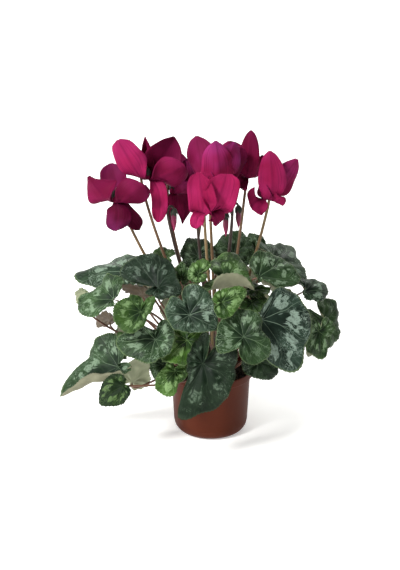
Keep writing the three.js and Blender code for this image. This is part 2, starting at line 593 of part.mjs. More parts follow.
// A petal's middle surface: it leaves the mouth outwards, bends back to its tip and widens past its middle
function petalBlade(mouth, hookSide, [tip, width, facing, cup, bow, form], rows, columns) {
  const leaning = Math.atan2(tip[1], tip[0]) / DEGREES - hookSide;
  const aside = ((leaning % 360) + 360) % 360;
  const baseTurn = (hookSide + Math.min(360 - HOOK_ROOM, Math.max(HOOK_ROOM, aside))) * DEGREES;
  const out = new THREE.Vector3(Math.cos(baseTurn), Math.sin(baseTurn), 0);
  const reach = vector(tip);
  const start = mouth.clone().addScaledVector(out, PETAL_START);
  const [swept, spread] = PETAL_SWEEP;
  const curve = new THREE.CubicBezierCurve3(
    start,
    start.clone().addScaledVector(out, PETAL_SPREAD).add(new THREE.Vector3(0, 0, -PETAL_DROP)),
    mouth.clone().addScaledVector(reach, swept).addScaledVector(out, spread),
    mouth.clone().add(reach),
  );
  const direction = reach.clone().normalize();
  const face = new THREE.Vector3(Math.cos(facing * DEGREES), Math.sin(facing * DEGREES), 0);
  const baseSide = new THREE.Vector3(0, 0, 1).cross(out);
  const tipSide = direction.clone().cross(face).normalize();
  if (tipSide.dot(baseSide) < 0) tipSide.negate();
  const points = [];
  for (let i = 0; i <= rows; i += 1) {
    const s = 1 - (1 - i / rows) ** 1.4;
    const along = curve.getTangent(s);
    const turn = Math.min(1, s / PETAL_TURNED_AT);
    const ease = turn * turn * (3 - 2 * turn);
    const side = baseSide.clone().lerp(tipSide, ease);
    side.addScaledVector(along, -side.dot(along)).normalize();
    const normal = along.clone().cross(side);
    const half = (width / 2) * through(PETAL_FORMS[form], s);
    const middle = curve.getPoint(s).addScaledVector(side, bow * Math.sin(Math.PI * s));
    for (let k = 0; k <= columns; k += 1) {
      const v = (2 * k) / columns - 1;
      points.push(middle.clone()
        .addScaledVector(side, v * half)
        .addScaledVector(normal, cup * v * v * half * 2));
    }
  }
  const triangles = [];
  for (let i = 0; i < rows; i += 1) {
    for (let k = 0; k < columns; k += 1) {
      const a = i * (columns + 1) + k;
      const b = a + columns + 1;
      triangles.push([a, a + 1, b + 1], [a, b + 1, b]);
    }
  }
  return thicken(points, triangles, PETAL_THICKNESS);
}

// The corolla's short tube over the mouth
function corollaTube(mouth) {
  return turned(TUBE_PROFILE, TUBE_SIDES).translate([mouth.x, mouth.y, mouth.z]);
}

function bloomSolid([, place, hookSide, , petals]) {
  const mouth = vector(place);
  const rowsOf = ([, width]) => (width < NARROW_PETAL ? 3 : 4);
  return petals.reduce(
    (joined, petal) => joined.add(petalBlade(mouth, hookSide, petal, rowsOf(petal), 2)),
    corollaTube(mouth),
  );
}

// The end of a flower stalk: up beside the flower, over and down into it
function hook(top, hookSide, drop) {
  const out = new THREE.Vector3(Math.cos(hookSide * DEGREES), Math.sin(hookSide * DEGREES), 0);
  const at = ([aside, up]) => top.clone().addScaledVector(out, aside).add(new THREE.Vector3(0, 0, up));
  return [[HOOK_ASIDE, -drop], ...HOOK_LINE].map(at);
}

function calyx(top) {
  return turned(CALYX_PROFILE, TUBE_SIDES).translate([top.x, top.y, top.z]);
}

function flowerStalk(root, top, hookSide, drop, bend) {
  const end = hook(top, hookSide, drop);
  const arrive = root.exit.clone().sub(end[0]).normalize().multiplyScalar(0.7);
  arrive.z -= 0.3;
  const line = stalkLine(root, root.down, end[0], arrive, bend);
  const points = [...line, ...end.slice(1)];
  return stem(points, thinning(points, SCAPE_RADIUS, 0.75), STEM_SIDES);
}

// A bloom's stalk with the calyx at its end
function scapeSolid([, place, hookSide, bend], root) {
  const top = vector(place).add(new THREE.Vector3(0, 0, TUBE_LENGTH + GAP));
  return flowerStalk(root, top, hookSide, BLOOM_HOOK_DROP, bend).add(calyx(top));
}

// A bud hangs point down from its hook
function budSolid([, place, hookSide, length, bend], root) {
  const top = vector(place);
  const profile = [[0, -length], [BUD_WIDEST, -length * 0.45], [BUD_NECK, 1], [0, 1]];
  const body = turned(profile, BUD_SIDES).translate([top.x, top.y, top.z]);
  return flowerStalk(root, top, hookSide, BUD_HOOK_DROP, bend).add(calyx(top)).add(body);
}

// The pot: a thin moulded shell with a rim band, a round bottom corner and drain holes
function potSolid() {
  const band = POT_HEIGHT - RIM_BAND;
  const [grooveIn, grooveOut] = FOOT_GROOVE;
  const groove = [
    [grooveIn, 0], [grooveIn + 1.5, GROOVE_DEPTH], [grooveOut - 1.5, GROOVE_DEPTH], [grooveOut, 0],
  ];
  let pot = turned([
    [0, 0], ...groove, [POT_FOOT_RADIUS, 0], ...CORNER_OUTSIDE,
    [POT_BODY_RADIUS, band], [POT_RIM_RADIUS, band + 1], [POT_RIM_RADIUS, POT_HEIGHT],
    [POT_RIM_RADIUS - POT_WALL, POT_HEIGHT], [POT_BODY_RADIUS - POT_WALL, band],
    ...CORNER_INSIDE, [0, POT_FLOOR],
  ], POT_SIDES);
  for (let k = 0; k < DRAIN_HOLES; k += 1) {
    const turn = ((k + 0.5) / DRAIN_HOLES) * 2 * Math.PI;
    const [below, above] = [-1, POT_FLOOR + 1.2];
    const hole = turned([[0, below], [DRAIN_RADIUS, below], [DRAIN_RADIUS, above], [0, above]], 6);
    pot = pot.subtract(hole.translate([DRAIN_RING * Math.cos(turn), DRAIN_RING * Math.sin(turn), 0]));
  }
  return pot;
}

// The tuber: a flat crown that the stems stand in, over a round body
function tuberProfile(grow) {
  const points = [[0, CROWN_TOP + grow], [CROWN_RADIUS, CROWN_TOP + grow]];
  for (let k = 0; k <= 5; k += 1) {
    const turn = (60 + 24 * k) * DEGREES;
    const height = TUBER_MIDDLE + (TUBER_HALF_HEIGHT + grow) * Math.cos(turn);
    points.push([(TUBER_RADIUS + grow) * Math.sin(turn), height]);
  }
  points[points.length - 1][0] = 0;
  return points.reverse();
}

// The tuber with a plain hole for each stem
function tuberSolid(stems) {
  return stems.reduce((tuber, { root, radius }) => {
    const wide = (radius + STEM_ROOM) / Math.cos(Math.PI / STEM_SIDES);
    const ends = [-ROOT_DEPTH - GAP, ROOT_RISE];
    const line = ends.map((far) => root.exit.clone().addScaledVector(root.down, far));
    return tuber.subtract(stem(line, [wide, wide], STEM_SIDES));
  }, turned(tuberProfile(0), TUBER_SIDES));
}

// The soil fills the pot up to the tuber's shoulder
function soilSolid() {
  const bottom = POT_FLOOR + GAP;
  const body = turned([
    [0, bottom], [POT_FOOT_RADIUS, bottom], [43.8, 10.2],
    [SOIL_RADIUS, SOIL_TOP - 4], [SOIL_RADIUS - 1, SOIL_TOP - 0.8], [0, SOIL_TOP],
  ], SOIL_SIDES);
  return body.subtract(turned(tuberProfile(GAP + 0.25), TUBER_SIDES));
}

const group = new THREE.Group();

function addNode(name, solid, colour, roughness) {
  const mesh = solid.getMesh();
  const geometry = new THREE.BufferGeometry();
  geometry.setAttribute("position", new THREE.BufferAttribute(mesh.vertProperties, 3));
  geometry.setIndex(new THREE.BufferAttribute(mesh.triVerts, 1));
  geometry.computeVertexNormals();
  const material = new THREE.MeshStandardMaterial({ color: colour, roughness, metalness: 0 });
  const made = new THREE.Mesh(geometry, material);
  made.name = name;
  group.add(made);
}

const leaves = [...LEAVES, ...backLeaves()];
const leafNodes = [...new Set(leaves.map(([name]) => name))];
const leafAims = leafNodes.map((name) => leaves.find((leaf) => leaf[0] === name)[1]);
const flowerAims = [...BLOOMS, ...BUDS].map(([, place]) => place);
const roots = crownPlaces([...leafAims, ...flowerAims]).map(rootAt);
const leafRoots = roots.slice(0, leafNodes.length);
const bloomRoots = roots.slice(leafNodes.length, leafNodes.length + BLOOMS.length);
const budRoots = roots.slice(leafNodes.length + BLOOMS.length);
const stems = [
  ...leafRoots.map((root) => ({ root, radius: PETIOLE_RADIUS })),
  ...[...bloomRoots, ...budRoots].map((root) => ({ root, radius: SCAPE_RADIUS })),
];

addNode("pot", potSolid(), 0x7a3a2a, 0.45);
addNode("soil", soilSolid(), 0x2b211a, 0.95);
addNode("tuber", tuberSolid(stems), 0x5a4030, 0.8);
leafNodes.forEach((name, index) => {
  const grown = leaves
    .filter((leaf) => leaf[0] === name)
    .map((leaf) => leafBlade(leaf).add(leafStalk(leaf, leafRoots[index])));
  addNode(name, grown.reduce((joined, leaf) => joined.add(leaf)), 0x34503f, 0.5);
});
BLOOMS.forEach((bloom, index) => {
  addNode(bloom[0], bloomSolid(bloom), 0xa82a68, 0.6);
  addNode(`scape_${index + 1}`, scapeSolid(bloom, bloomRoots[index]), 0x6b5236, 0.55);
});
BUDS.forEach((bud, index) => {
  addNode(bud[0], budSolid(bud, budRoots[index]), 0x7a1f4c, 0.55);
});

export default group;
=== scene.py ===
import math
import random

import bpy
import numpy as np
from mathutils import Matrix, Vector, noise


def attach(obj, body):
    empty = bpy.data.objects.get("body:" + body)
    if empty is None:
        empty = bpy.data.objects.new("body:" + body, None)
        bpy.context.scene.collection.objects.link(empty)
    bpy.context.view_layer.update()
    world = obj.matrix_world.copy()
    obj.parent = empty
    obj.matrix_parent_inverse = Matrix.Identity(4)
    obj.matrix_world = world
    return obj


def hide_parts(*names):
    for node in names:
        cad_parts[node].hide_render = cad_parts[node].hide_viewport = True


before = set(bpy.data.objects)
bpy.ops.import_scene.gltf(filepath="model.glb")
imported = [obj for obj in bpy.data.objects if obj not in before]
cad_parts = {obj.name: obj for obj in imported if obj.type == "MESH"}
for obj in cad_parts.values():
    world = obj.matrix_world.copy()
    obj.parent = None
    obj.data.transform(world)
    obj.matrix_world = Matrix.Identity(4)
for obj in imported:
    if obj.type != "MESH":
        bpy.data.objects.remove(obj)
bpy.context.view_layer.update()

# Lengths below are millimetres, and the meshes are in metres
MM = 0.001

# The pot, soil and tuber
POT_HEIGHT = 82
POT_RIM_RADIUS = 52.5
POT_BODY_RADIUS = 49.2
POT_FOOT_RADIUS = 38
POT_WALL = 1.5
POT_FLOOR = 2.8
RIM_BAND = 10
FOOT_GROOVE = (20, 34.5)
GROOVE_DEPTH = 1.2
GROOVE_SLOPE = 1.5
EDGE_ROUNDING = 0.9
DRAIN_HOLES = 6
DRAIN_RADIUS = 3.2
DRAIN_RING = 27
GAP = 0.35
SOIL_TOP = 74.5
SOIL_RADIUS = 46.6
SOIL_HOLLOW = 25.8
CRUMBS = 150
TUBER_RADIUS = 31
TUBER_HALF_HEIGHT = 16
TUBER_MIDDLE = 63
CROWN_TOP = 78
CROWN_RADIUS = 26

# The pot's round bottom corner, outside and inside, as (radius, height)
CORNER_OUTSIDE = ((42.6, 2.2), (45.4, 6.4), (46.5, 12))
CORNER_INSIDE = ((44.9, 12), (43.2, 6.4), (38.6, POT_FLOOR))

# How the stems stand in the tuber's crown
STEM_RING = 24
STEM_SPACING = 6.1
STEM_LEAN = 62
ROOT_DEPTH = 4.5
ROOT_RISE = 2
ROOT_LEAN = 32
PETIOLE_RADIUS = 1.5
SCAPE_RADIUS = 2.05

# Leaf blades
BLADE_THICKNESS = 0.6
BLADE_RINGS = 14
NOTCH_REACH = 0.1
NOTCH_UPTURN = 0.1
MARGIN_FACETS = 0.03
FOLD_SOFTNESS = 0.1

# Petals, and the short tube that they grow from
PETAL_THICKNESS = 0.5
PETAL_START = 2.4
PETAL_SPREAD = 9
PETAL_DROP = 2
PETAL_SWEEP = (0.45, 10)
PETAL_TURNED_AT = 0.55
TUBE_LENGTH = 9
MOUTH_RADIUS = 4.2
CALYX_WALL = 0.35

# The hook at a flower stalk's end, as (aside, up) from the flower's top, how far below it the stalk arrives,
# and how far in degrees the petals keep from it
HOOK_ASIDE = 7.2
HOOK_LINE = ((7, 1.4), (4.8, 6.4), (1.4, 6), (0, 0.4))
BLOOM_HOOK_DROP = 14
BUD_HOOK_DROP = 6
HOOK_ROOM = 65

# The veins: how many main ones there are, how far they wander, and for the main ones and both sets of forks
# how far along the blade they leave, how fast they spread, and their width in millimetres
VEINS = 9
VEIN_WAVER = 0.9
VEIN_SETS = ((0.0, 0.0, 0.5), (0.38, 0.8, 0.4), (0.6, 1.5, 0.35))

SEED = 7

# The photograph's viewing angle
CAMERA_PLACE = (-13.4, -1080.6, 582.3)
CAMERA_TARGET = (-13.4, 0, 189)
CAMERA_LENS = 60
SENSOR_HEIGHT = 36

# How far the floor lies below the pot
FLOOR_GAP = 0.3

# How far a leaf reaches from its stalk, as a share of its length, by the angle from its tip
LEAF_REACH = [
    [0, 1.0],
    [15, 0.93],
    [30, 0.86],
    [60, 0.77],
    [90, 0.73],
    [120, 0.71],
    [145, 0.66],
    [160, 0.56],
    [172, 0.33],
    [180, 0.1],
]

# Each leaf: node, place of the top of its stalk, [facing, droop, spin] in degrees, length from stalk to tip,
# breadth as a share of round, [dome, fold, wave, waves, phase], curls as [towards, start, radius, sense],
# the stalk's [bow, rise], and its own outline as [angle from the tip, reach] where it isn't the common one.
# Rows of the same node share a root.
LEAVES = [
    ["leaf_01", [-101, 14, 201], [-130, 35, -70], 75, 1, [0.08, -0.4, 0.04, 5, 40], [], [0, 0], [
        [-150, 0.4], [-100, 0.4], [-60, 0.55], [-30, 0.7], [-10, 1], [0, 1.05], [20, 0.7], [50, 0.4],
        [110, 0.3], [150, 0.35],
    ]],
    ["leaf_02", [-62, -54, 205], [-110, 45, 108], 42, 1, [0.08, 0.1, 0.05, 5, 0], [], [0, 0], [
        [-160, 0.35], [-115, 0.3], [-70, 0.45], [-40, 0.65], [-10, 0.7], [10, 0.6], [40, 0.7], [80, 0.95],
        [110, 1.15], [135, 1.3], [155, 1.1], [170, 0.4],
    ]],
    ["leaf_03", [-113, -52, 190], [-130, 50, -71], 49, 1, [0.08, 0.12, 0.05, 5, 90], [], [0, 0], [
        [-140, 0.4], [-85, 0.6], [-65, 0.7], [-45, 0.65], [-20, 0.8], [-5, 1.1], [15, 1], [30, 0.8],
        [65, 0.3], [105, 0.2],
    ]],
    ["leaf_04", [-152, -8, 175], [-130, -60, -122], 26, 0.7, [0.15, 0.1, 0.04, 4, 0], [], [-8, -10], []],
    ["leaf_05", [-80, -86, 188], [-98, 50, -17], 34, 1, [-0.12, 0.16, 0.05, 5, 30], [], [0, 0], [
        [-180, 0.3], [-155, 0.5], [-120, 0.6], [-80, 0.85], [-35, 0.9], [0, 0.85], [30, 0.6], [65, 0.35],
        [125, 0.45], [155, 0.65], [180, 0.3],
    ]],
    ["leaf_06", [-81, -26, 185], [-110, -50, -47], 30, 0.8, [0.15, 0.1, 0.04, 4, 0], [], [0, 0], []],
    ["leaf_07", [-122, -18, 149], [-120, -40, -127], 38, 0.5, [0.2, 0.3, 0.04, 4, 0], [], [-16, 0], []],
    ["leaf_08", [-110, -60, 108], [-125, 60, -52], 70, 1, [0.06, 0.1, 0.04, 5, 70],
     [[80, 0.12, 8, 1]], [0, 0], [
        [-140, 0.4], [-105, 0.55], [-80, 0.65], [-40, 0.65], [-20, 0.95], [0, 1.25], [15, 0.95],
        [35, 0.75], [60, 0.6], [90, 0.5], [130, 0.4], [160, 0.35],
    ]],
    ["leaf_09", [-108, -38, 127], [-140, 60, 60], 22, 1, [0.1, 0.1, 0.05, 5, 0], [], [0, 0], []],
    ["leaf_10", [-64, -88, 155], [-105, 45, 0], 40, 1, [0.08, 0.14, 0.06, 5, 20], [], [-8, 0], [
        [-180, 0.25], [-140, 0.35], [-110, 0.7], [-85, 1.1], [-60, 1.05], [-35, 0.8], [0, 0.75],
        [30, 0.65], [85, 0.6], [140, 0.6], [165, 0.6], [180, 0.25],
    ]],
    ["leaf_11", [-95, -50, 83], [-80, -70, 25], 41, 1, [0.06, 0.05, 0.03, 4, 0], [], [0, 0], [
        [-150, 0.35], [-100, 0.45], [-45, 0.6], [-20, 1], [0, 0.95], [35, 0.6], [70, 0.55], [115, 0.55],
        [150, 0.4],
    ]],
    ["leaf_12", [-102, -88, 97], [-105, 65, -50], 28, 1, [0.1, 0.1, 0.05, 5, 0], [], [24, -10], [
        [-150, 0.35], [-100, 0.55], [-40, 0.9], [-15, 1.15], [0, 1.3], [25, 1], [55, 0.75], [85, 0.55],
        [120, 0.4],
    ]],
    ["leaf_13", [-28, -77, 149], [-100, 30, -37], 38, 1, [0.1, 0.05, 0.05, 5, 0],
     [[90, 0.08, 12, -1]], [0, 0], []],
    ["leaf_14", [-42, -76, 110], [-100, 65, 0], 26, 1, [0.1, 0.1, 0.05, 5, 50], [], [0, 0], [
        [-140, 0.45], [-100, 0.55], [-60, 1], [-40, 1.2], [0, 1.1], [20, 0.6], [80, 0.6], [120, 0.55],
    ]],
    ["leaf_15", [-25, -98, 189], [-92, 55, 28], 41, 1, [0.12, 0.1, 0.06, 6, 0], [], [12, 0], [
        [-180, 0.4], [-165, 0.65], [-145, 0.7], [-90, 0.6], [-25, 0.5], [0, 0.55], [15, 0.65], [35, 0.85],
        [60, 0.75], [95, 0.75], [125, 0.85], [150, 0.85], [165, 0.8], [180, 0.4],
    ]],
    ["leaf_16", [-10, -98, 130], [-92, 76, -24], 62, 1, [0.06, 0.14, 0.07, 6, 30], [], [0, 0], [
        [-165, 0.6], [-140, 0.45], [-110, 0.35], [-65, 0.3], [-20, 0.4], [-8, 0.75], [0, 1.1], [20, 0.95],
        [35, 0.9], [60, 0.75], [105, 0.6], [160, 0.65],
    ]],
    ["leaf_17", [35, -109, 167], [-85, 62, 150], 33, 1, [-0.02, -0.1, 0.1, 4, 60], [], [-8, 0], [
        [-180, 0.4], [-160, 0.75], [-130, 1], [-100, 1.05], [-70, 0.9], [-42, 0.65], [-20, 0.85],
        [10, 0.95], [50, 0.95], [90, 0.95], [125, 0.95], [150, 1], [168, 0.6], [180, 0.4],
    ]],
    ["leaf_18", [57, -74, 174], [-75, 60, 26], 71, 1, [0.08, -0.04, 0.05, 6, 0], [], [0, 0], [
        [-100, 0.25], [-55, 0.35], [-38, 0.5], [-22, 0.7], [0, 1], [25, 0.85], [45, 0.9], [75, 0.8],
        [105, 0.7], [120, 0.6], [140, 0.25],
    ]],
    ["leaf_19", [136, -6, 142], [-40, 60, 23], 34, 1, [0.1, 0.1, 0.05, 5, 0], [], [0, 0], [
        [-165, 0.85], [-110, 1.05], [-75, 1.1], [-45, 0.95], [0, 0.9], [50, 0.9], [75, 1.05], [92, 1.2],
        [115, 1], [150, 0.9],
    ]],
    ["leaf_20", [126, -46, 148], [-55, 65, -6], 32, 1, [0.1, 0.16, 0.05, 5, 0], [], [0, 0], [
        [-165, 0.5], [-130, 0.6], [-75, 0.85], [-50, 1], [-25, 0.95], [0, 1.05], [20, 0.75], [45, 0.45],
        [75, 0.6], [100, 0.7], [155, 0.5],
    ]],
    ["leaf_21", [112, -14, 186], [-50, 45, 70], 32, 0.9, [0.12, -0.1, 0.05, 5, 0], [], [0, 0], [
        [-125, 0.35], [-70, 0.45], [-35, 0.75], [0, 1.1], [20, 1.3], [40, 1.1], [70, 0.65], [115, 0.55],
    ]],
    ["leaf_22", [55, -40, 213], [-70, 40, 78], 46, 1, [0.1, 0.1, 0.05, 5, 20], [], [-16, 20], [
        [-90, 0.15], [-50, 0.2], [-25, 0.6], [0, 1.1], [20, 1.05], [50, 0.9], [90, 0.7], [130, 0.4],
        [180, 0.15],
    ]],
    ["leaf_23", [78, 24, 208], [-30, 30, 23], 46, 1, [0.1, 0.1, 0.05, 5, 0], [], [0, 0], [
        [-145, 0.75], [-110, 0.9], [-40, 0.75], [0, 0.95], [35, 1], [55, 1.1], [72, 1.4], [85, 1.1],
        [100, 0.8], [165, 0.7],
    ]],
    ["leaf_24", [15, -46, 210], [-90, 28, 70], 36, 1, [0.1, 0.06, 0.05, 5, 0],
     [[-62, 0.15, 18, 1]], [0, 0], [
        [-140, 0.7], [-105, 0.9], [-80, 1.3], [-60, 1.4], [-35, 1.3], [0, 1], [30, 0.85], [60, 0.95],
        [90, 1.2], [105, 1.3], [125, 1.1], [150, 0.8],
    ]],
    ["leaf_35", [-15, -60, 223], [-100, 50, -69], 21, 1, [0.1, 0.1, 0.05, 5, 0], [], [0, 0], [
        [-165, 0.8], [-130, 0.9], [-90, 0.75], [-40, 0.6], [0, 0.6], [60, 0.5], [150, 0.5],
    ]],
    ["leaf_25", [11, -100, 205], [-80, 58, 107], 26, 1, [0.05, 0.2, 0.06, 4, 0], [], [0, 0], [
        [-180, 0.3], [-150, 0.6], [-115, 0.75], [-60, 0.7], [-25, 0.8], [0, 1.15], [20, 1.05], [40, 0.7],
        [90, 0.5], [145, 0.45], [180, 0.3],
    ]],
    ["leaf_26", [47, -26, 190], [-60, 10, 86], 26, 0.9, [0.15, 0.1, 0.05, 5, 0], [], [0, 0], []],
    ["leaf_26", [48, -40, 181], [-80, 60, 35], 23, 1, [0.1, 0.1, 0.05, 5, 0], [], [0, 0], []],
    ["leaf_28", [55, -62, 117], [-70, 75, 24], 30, 1, [0.1, 0.1, 0.06, 5, 0], [], [0, 0], [
        [-160, 0.65], [-120, 0.75], [-60, 0.7], [-30, 0.7], [0, 0.9], [32, 0.95], [60, 0.6], [130, 0.4],
    ]],
    ["leaf_29", [-56, 22, 214], [-120, 40, -79], 24, 1, [0.1, 0.1, 0.05, 5, 0], [], [0, 0], [
        [-160, 0.6], [-100, 0.6], [-30, 0.9], [-8, 1], [35, 0.6], [105, 0.45], [160, 0.55],
    ]],
    ["leaf_29", [-35, -6, 199], [-100, 50, -179], 18, 0.8, [-0.3, 0.2, 0.05, 5, 0], [], [0, 0], []],
    ["leaf_27", [-58, -42, 103], [-100, 70, -30], 20, 1, [0.1, 0.1, 0.05, 5, 0], [], [0, 0], []],
    ["leaf_33", [-15, 30, 215], [-95, 45, -153], 29, 1, [0.1, 0.1, 0.06, 5, 0], [], [0, 0], []],
    ["leaf_34", [28, 44, 214], [-85, 45, 162], 34, 1, [0.1, 0.1, 0.06, 5, 50], [], [0, 0], []],
    ["leaf_34", [56, 56, 219], [-80, 60, -165], 19, 1, [0.1, 0.3, 0.06, 5, 0], [], [0, 0], []],
]

# How wide a petal is, as a share of its width, by the share of the way to its tip
PETAL_FORMS = {
    "broad": [[0, 0.18], [0.1, 0.28], [0.28, 0.76], [0.5, 1], [0.72, 0.88], [0.9, 0.52], [1, 0.06]],
    "full": [[0, 0.22], [0.08, 0.42], [0.25, 0.93], [0.5, 1], [0.75, 0.85], [0.92, 0.45], [1, 0.06]],
    "oval": [[0, 0.16], [0.1, 0.26], [0.3, 0.68], [0.6, 1], [0.82, 0.8], [0.95, 0.42], [1, 0.06]],
    "round": [[0, 0.2], [0.1, 0.3], [0.3, 0.78], [0.6, 1], [0.82, 0.88], [0.94, 0.56], [1, 0.1]],
    "pointed": [[0, 0.18], [0.1, 0.28], [0.3, 0.76], [0.5, 1], [0.75, 0.66], [0.9, 0.27], [1, 0.04]],
    "late": [[0, 0.16], [0.15, 0.22], [0.35, 0.58], [0.6, 1], [0.8, 0.94], [0.94, 0.6], [1, 0.1]],
    "square": [[0, 0.22], [0.08, 0.42], [0.25, 0.9], [0.5, 1], [0.8, 0.97], [0.94, 0.75], [1, 0.35]],
    "blunt": [[0, 0.22], [0.08, 0.4], [0.25, 0.88], [0.5, 1], [0.78, 0.92], [0.93, 0.62], [1, 0.15]],
    "blade": [[0, 0.4], [0.2, 0.8], [0.5, 1], [0.75, 0.95], [0.9, 0.6], [1, 0.06]],
}

# Each bloom: node, middle of its mouth, the side its stalk hooks over from in degrees, its stalk's
# [bow, rise], and its petals as [tip from the mouth, width, facing in degrees, cup, sideways bow, form]
BLOOMS = [
    ["bloom_1", [-111, -12, 296], 30, [-8, 0], [
        [[-31, 0, 30], 44, -110, 0.12, 3, "pointed"],
        [[-7, 34, 38], 34, -100, 0.1, -3, "round"],
        [[-1, -8, -33], 31, -100, -0.12, 5, "round"],
        [[34, -14, 24], 36, -85, 0.22, -3, "round"],
        [[26, 12, -36], 20, -60, 0.1, -3, "round"],
    ]],
    ["bloom_2", [-75, 4, 319], 160, [16, 0], [
        [[12, -6, -51], 20, -95, 0.1, 3, "blunt"],
        [[31, 22, 46], 48, -70, 0.15, 4, "broad"],
        [[-2, 12, 48], 15, -90, 0.5, -2, "broad"],
        [[-31, -16, 50], 36, -105, 0.1, 2, "late"],
        [[44, -6, 18], 38, -70, 0.15, 0, "round"],
    ]],
    ["bloom_3", [-46, 30, 296], 150, [16, 0], [
        [[0, -10, -44], 14, -110, 0.2, 0, "blade"],
        [[17, -6, 43], 35, -80, 0.14, 6, "broad"],
        [[21, -16, 18], 26, -70, 0.14, 0, "oval"],
        [[11, 10, -42], 28, -80, 0.1, -4, "pointed"],
        [[6, 22, 45], 36, -80, 0.1, 0, "oval"],
    ]],
    ["bloom_4", [1, 0, 318], 118, [0, 0], [
        [[-19, 14, 50], 40, -115, 0.14, 4, "round"],
        [[3, -14, 50], 40, -80, 0.2, 5, "full"],
        [[25, -5, 47], 36, -75, 0.12, -3, "broad"],
        [[34, 8, 38], 32, -70, 0.1, 0, "round"],
        [[17, 10, -40], 14, -80, 0.1, -13, "blade"],
    ]],
    ["bloom_5", [-6, -48, 294], 110, [0, 0], [
        [[-8, -4, 46], 33, -98, -0.1, 6, "blunt"],
        [[-11, -8, -17], 16, -100, 0.1, 0, "blade"],
        [[9, -2, -16], 20, -80, 0.1, 0, "pointed"],
        [[22, -2, 44], 39, -82, -0.1, -3, "square"],
        [[17, 18, 32], 30, 50, 0.1, 0, "oval"],
    ]],
    ["bloom_6", [46, 30, 315], 120, [0, 0], [
        [[0, -8, 58], 25, -100, 0.12, -2, "oval"],
        [[-25, 4, 43], 39, -105, 0.12, -2, "round"],
        [[-16, -16, -8], 22, -100, 0.1, 0, "oval"],
        [[14, 0, 27], 20, -60, 0.1, 0, "oval"],
        [[1, 20, 31], 26, 60, 0.1, 0, "oval"],
    ]],
    ["bloom_7", [63, -18, 301], 60, [0, 0], [
        [[4, 20, 34], 26, 130, 0.1, 0, "oval"],
        [[-18, -20, -5], 33, -110, 0.12, -3, "round"],
        [[2, -8, 58], 33, -95, 0.12, 3, "oval"],
        [[17, -12, 6], 18, -80, 0.12, 0, "oval"],
        [[34, 4, 46], 36, -75, 0.1, -7, "broad"],
    ]],
    ["bloom_8", [-10, 92, 265], 270, [16, 0], [
        [[24, 10, 40], 30, 60, 0.1, 0, "broad"],
        [[20, 24, 30], 30, 70, 0.1, 2, "oval"],
        [[-4, 22, 44], 32, 90, 0.1, -2, "pointed"],
        [[-26, 10, 36], 30, 120, 0.1, 0, "broad"],
        [[-20, -8, 44], 28, 200, 0.1, 2, "oval"],
    ]],
]

# Each bud: node, the bottom of its hook, the side it hooks over from in degrees, its length, and its stalk's
# [bow, rise]
BUDS = [
    ["bud_1", [-44, 2, 280], 180, 24, [-16, 0]],
    ["bud_2", [-10, 8, 280], 180, 21, [0, 0]],
    ["bud_3", [17, -8, 278], 0, 26, [16, 0]],
    ["bud_4", [32, 0, 284], 180, 24, [8, 0]],
]

# Leaves of the far side, in three rings; neighbours share a root on the tuber two by two
BACK_RINGS = [
    {"count": 4, "from": 22, "step": 42, "radius": 112, "height": 124, "droop": 62, "length": 48},
    {"count": 4, "from": 34, "step": 36, "radius": 98, "height": 170, "droop": 50, "length": 44},
    {"count": 1, "from": 82, "step": 0, "radius": 80, "height": 196, "droop": 36, "length": 38},
]

# How each leaf looks: its age from 0, young and bright, to 1, old and blue-green; how much silver it has; how
# much painted shade darkens its upper side where the leaf lies in shadow; and how brown its underside is
LEAF_LOOKS = {
    "leaf_01": (0.85, 0.7, 0.2, 0.2),
    "leaf_02": (0.9, 0.55, 0.95, 0.9),
    "leaf_03": (0.6, 0.75, 0.35, 0.3),
    "leaf_04": (0.4, 0.4, 0.2, 0.1),
    "leaf_05": (0.15, 0.75, 0.6, 0.1),
    "leaf_06": (0.7, 0.3, 0.6, 0.9),
    "leaf_07": (0.5, 0.4, 0.6, 0.9),
    "leaf_08": (0.7, 0.7, 0.4, 0.5),
    "leaf_09": (0.3, 0.5, 0.4, 0.3),
    "leaf_10": (0.65, 0.7, 0.35, 0.2),
    "leaf_11": (0.8, 0.2, 0.2, 0.15),
    "leaf_12": (0.0, 0.8, 1.15, 0.1),
    "leaf_13": (0.05, 0.9, 0.0, 0.2),
    "leaf_14": (0.1, 0.9, 0.15, 0.2),
    "leaf_15": (0.9, 0.6, 0.3, 0.3),
    "leaf_16": (0.75, 0.45, 1.15, 0.3),
    "leaf_17": (0.6, 0.75, 0.6, 0.2),
    "leaf_18": (1.0, 1.12, 0.15, 0.5),
    "leaf_19": (0.5, 0.45, 0.65, 0.4),
    "leaf_20": (0.45, 0.7, 0.5, 0.3),
    "leaf_21": (0.8, 0.8, 0.5, 0.7),
    "leaf_22": (0.6, 0.85, 0.45, 0.3),
    "leaf_23": (0.75, 0.6, 0.4, 0.3),
    "leaf_24": (0.25, 0.8, 0.35, 0.4),
    "leaf_25": (0.1, 0.9, 0.2, 0.1),
    "leaf_26": (0.3, 0.3, 0.5, 0.3),
    "leaf_27": (0.6, 0.4, 0.6, 0.4),
    "leaf_28": (0.7, 0.3, 0.8, 0.3),
    "leaf_29": (0.35, 0.6, 0.5, 0.5),
    "leaf_33": (0.6, 0.5, 0.8, 0.3),
    "leaf_34": (0.55, 0.5, 0.8, 0.3),
    "leaf_35": (0.15, 0.9, 0.3, 0.2),
}
BACK_LOOK = (0.65, 0.7, 0.5, 0.3)
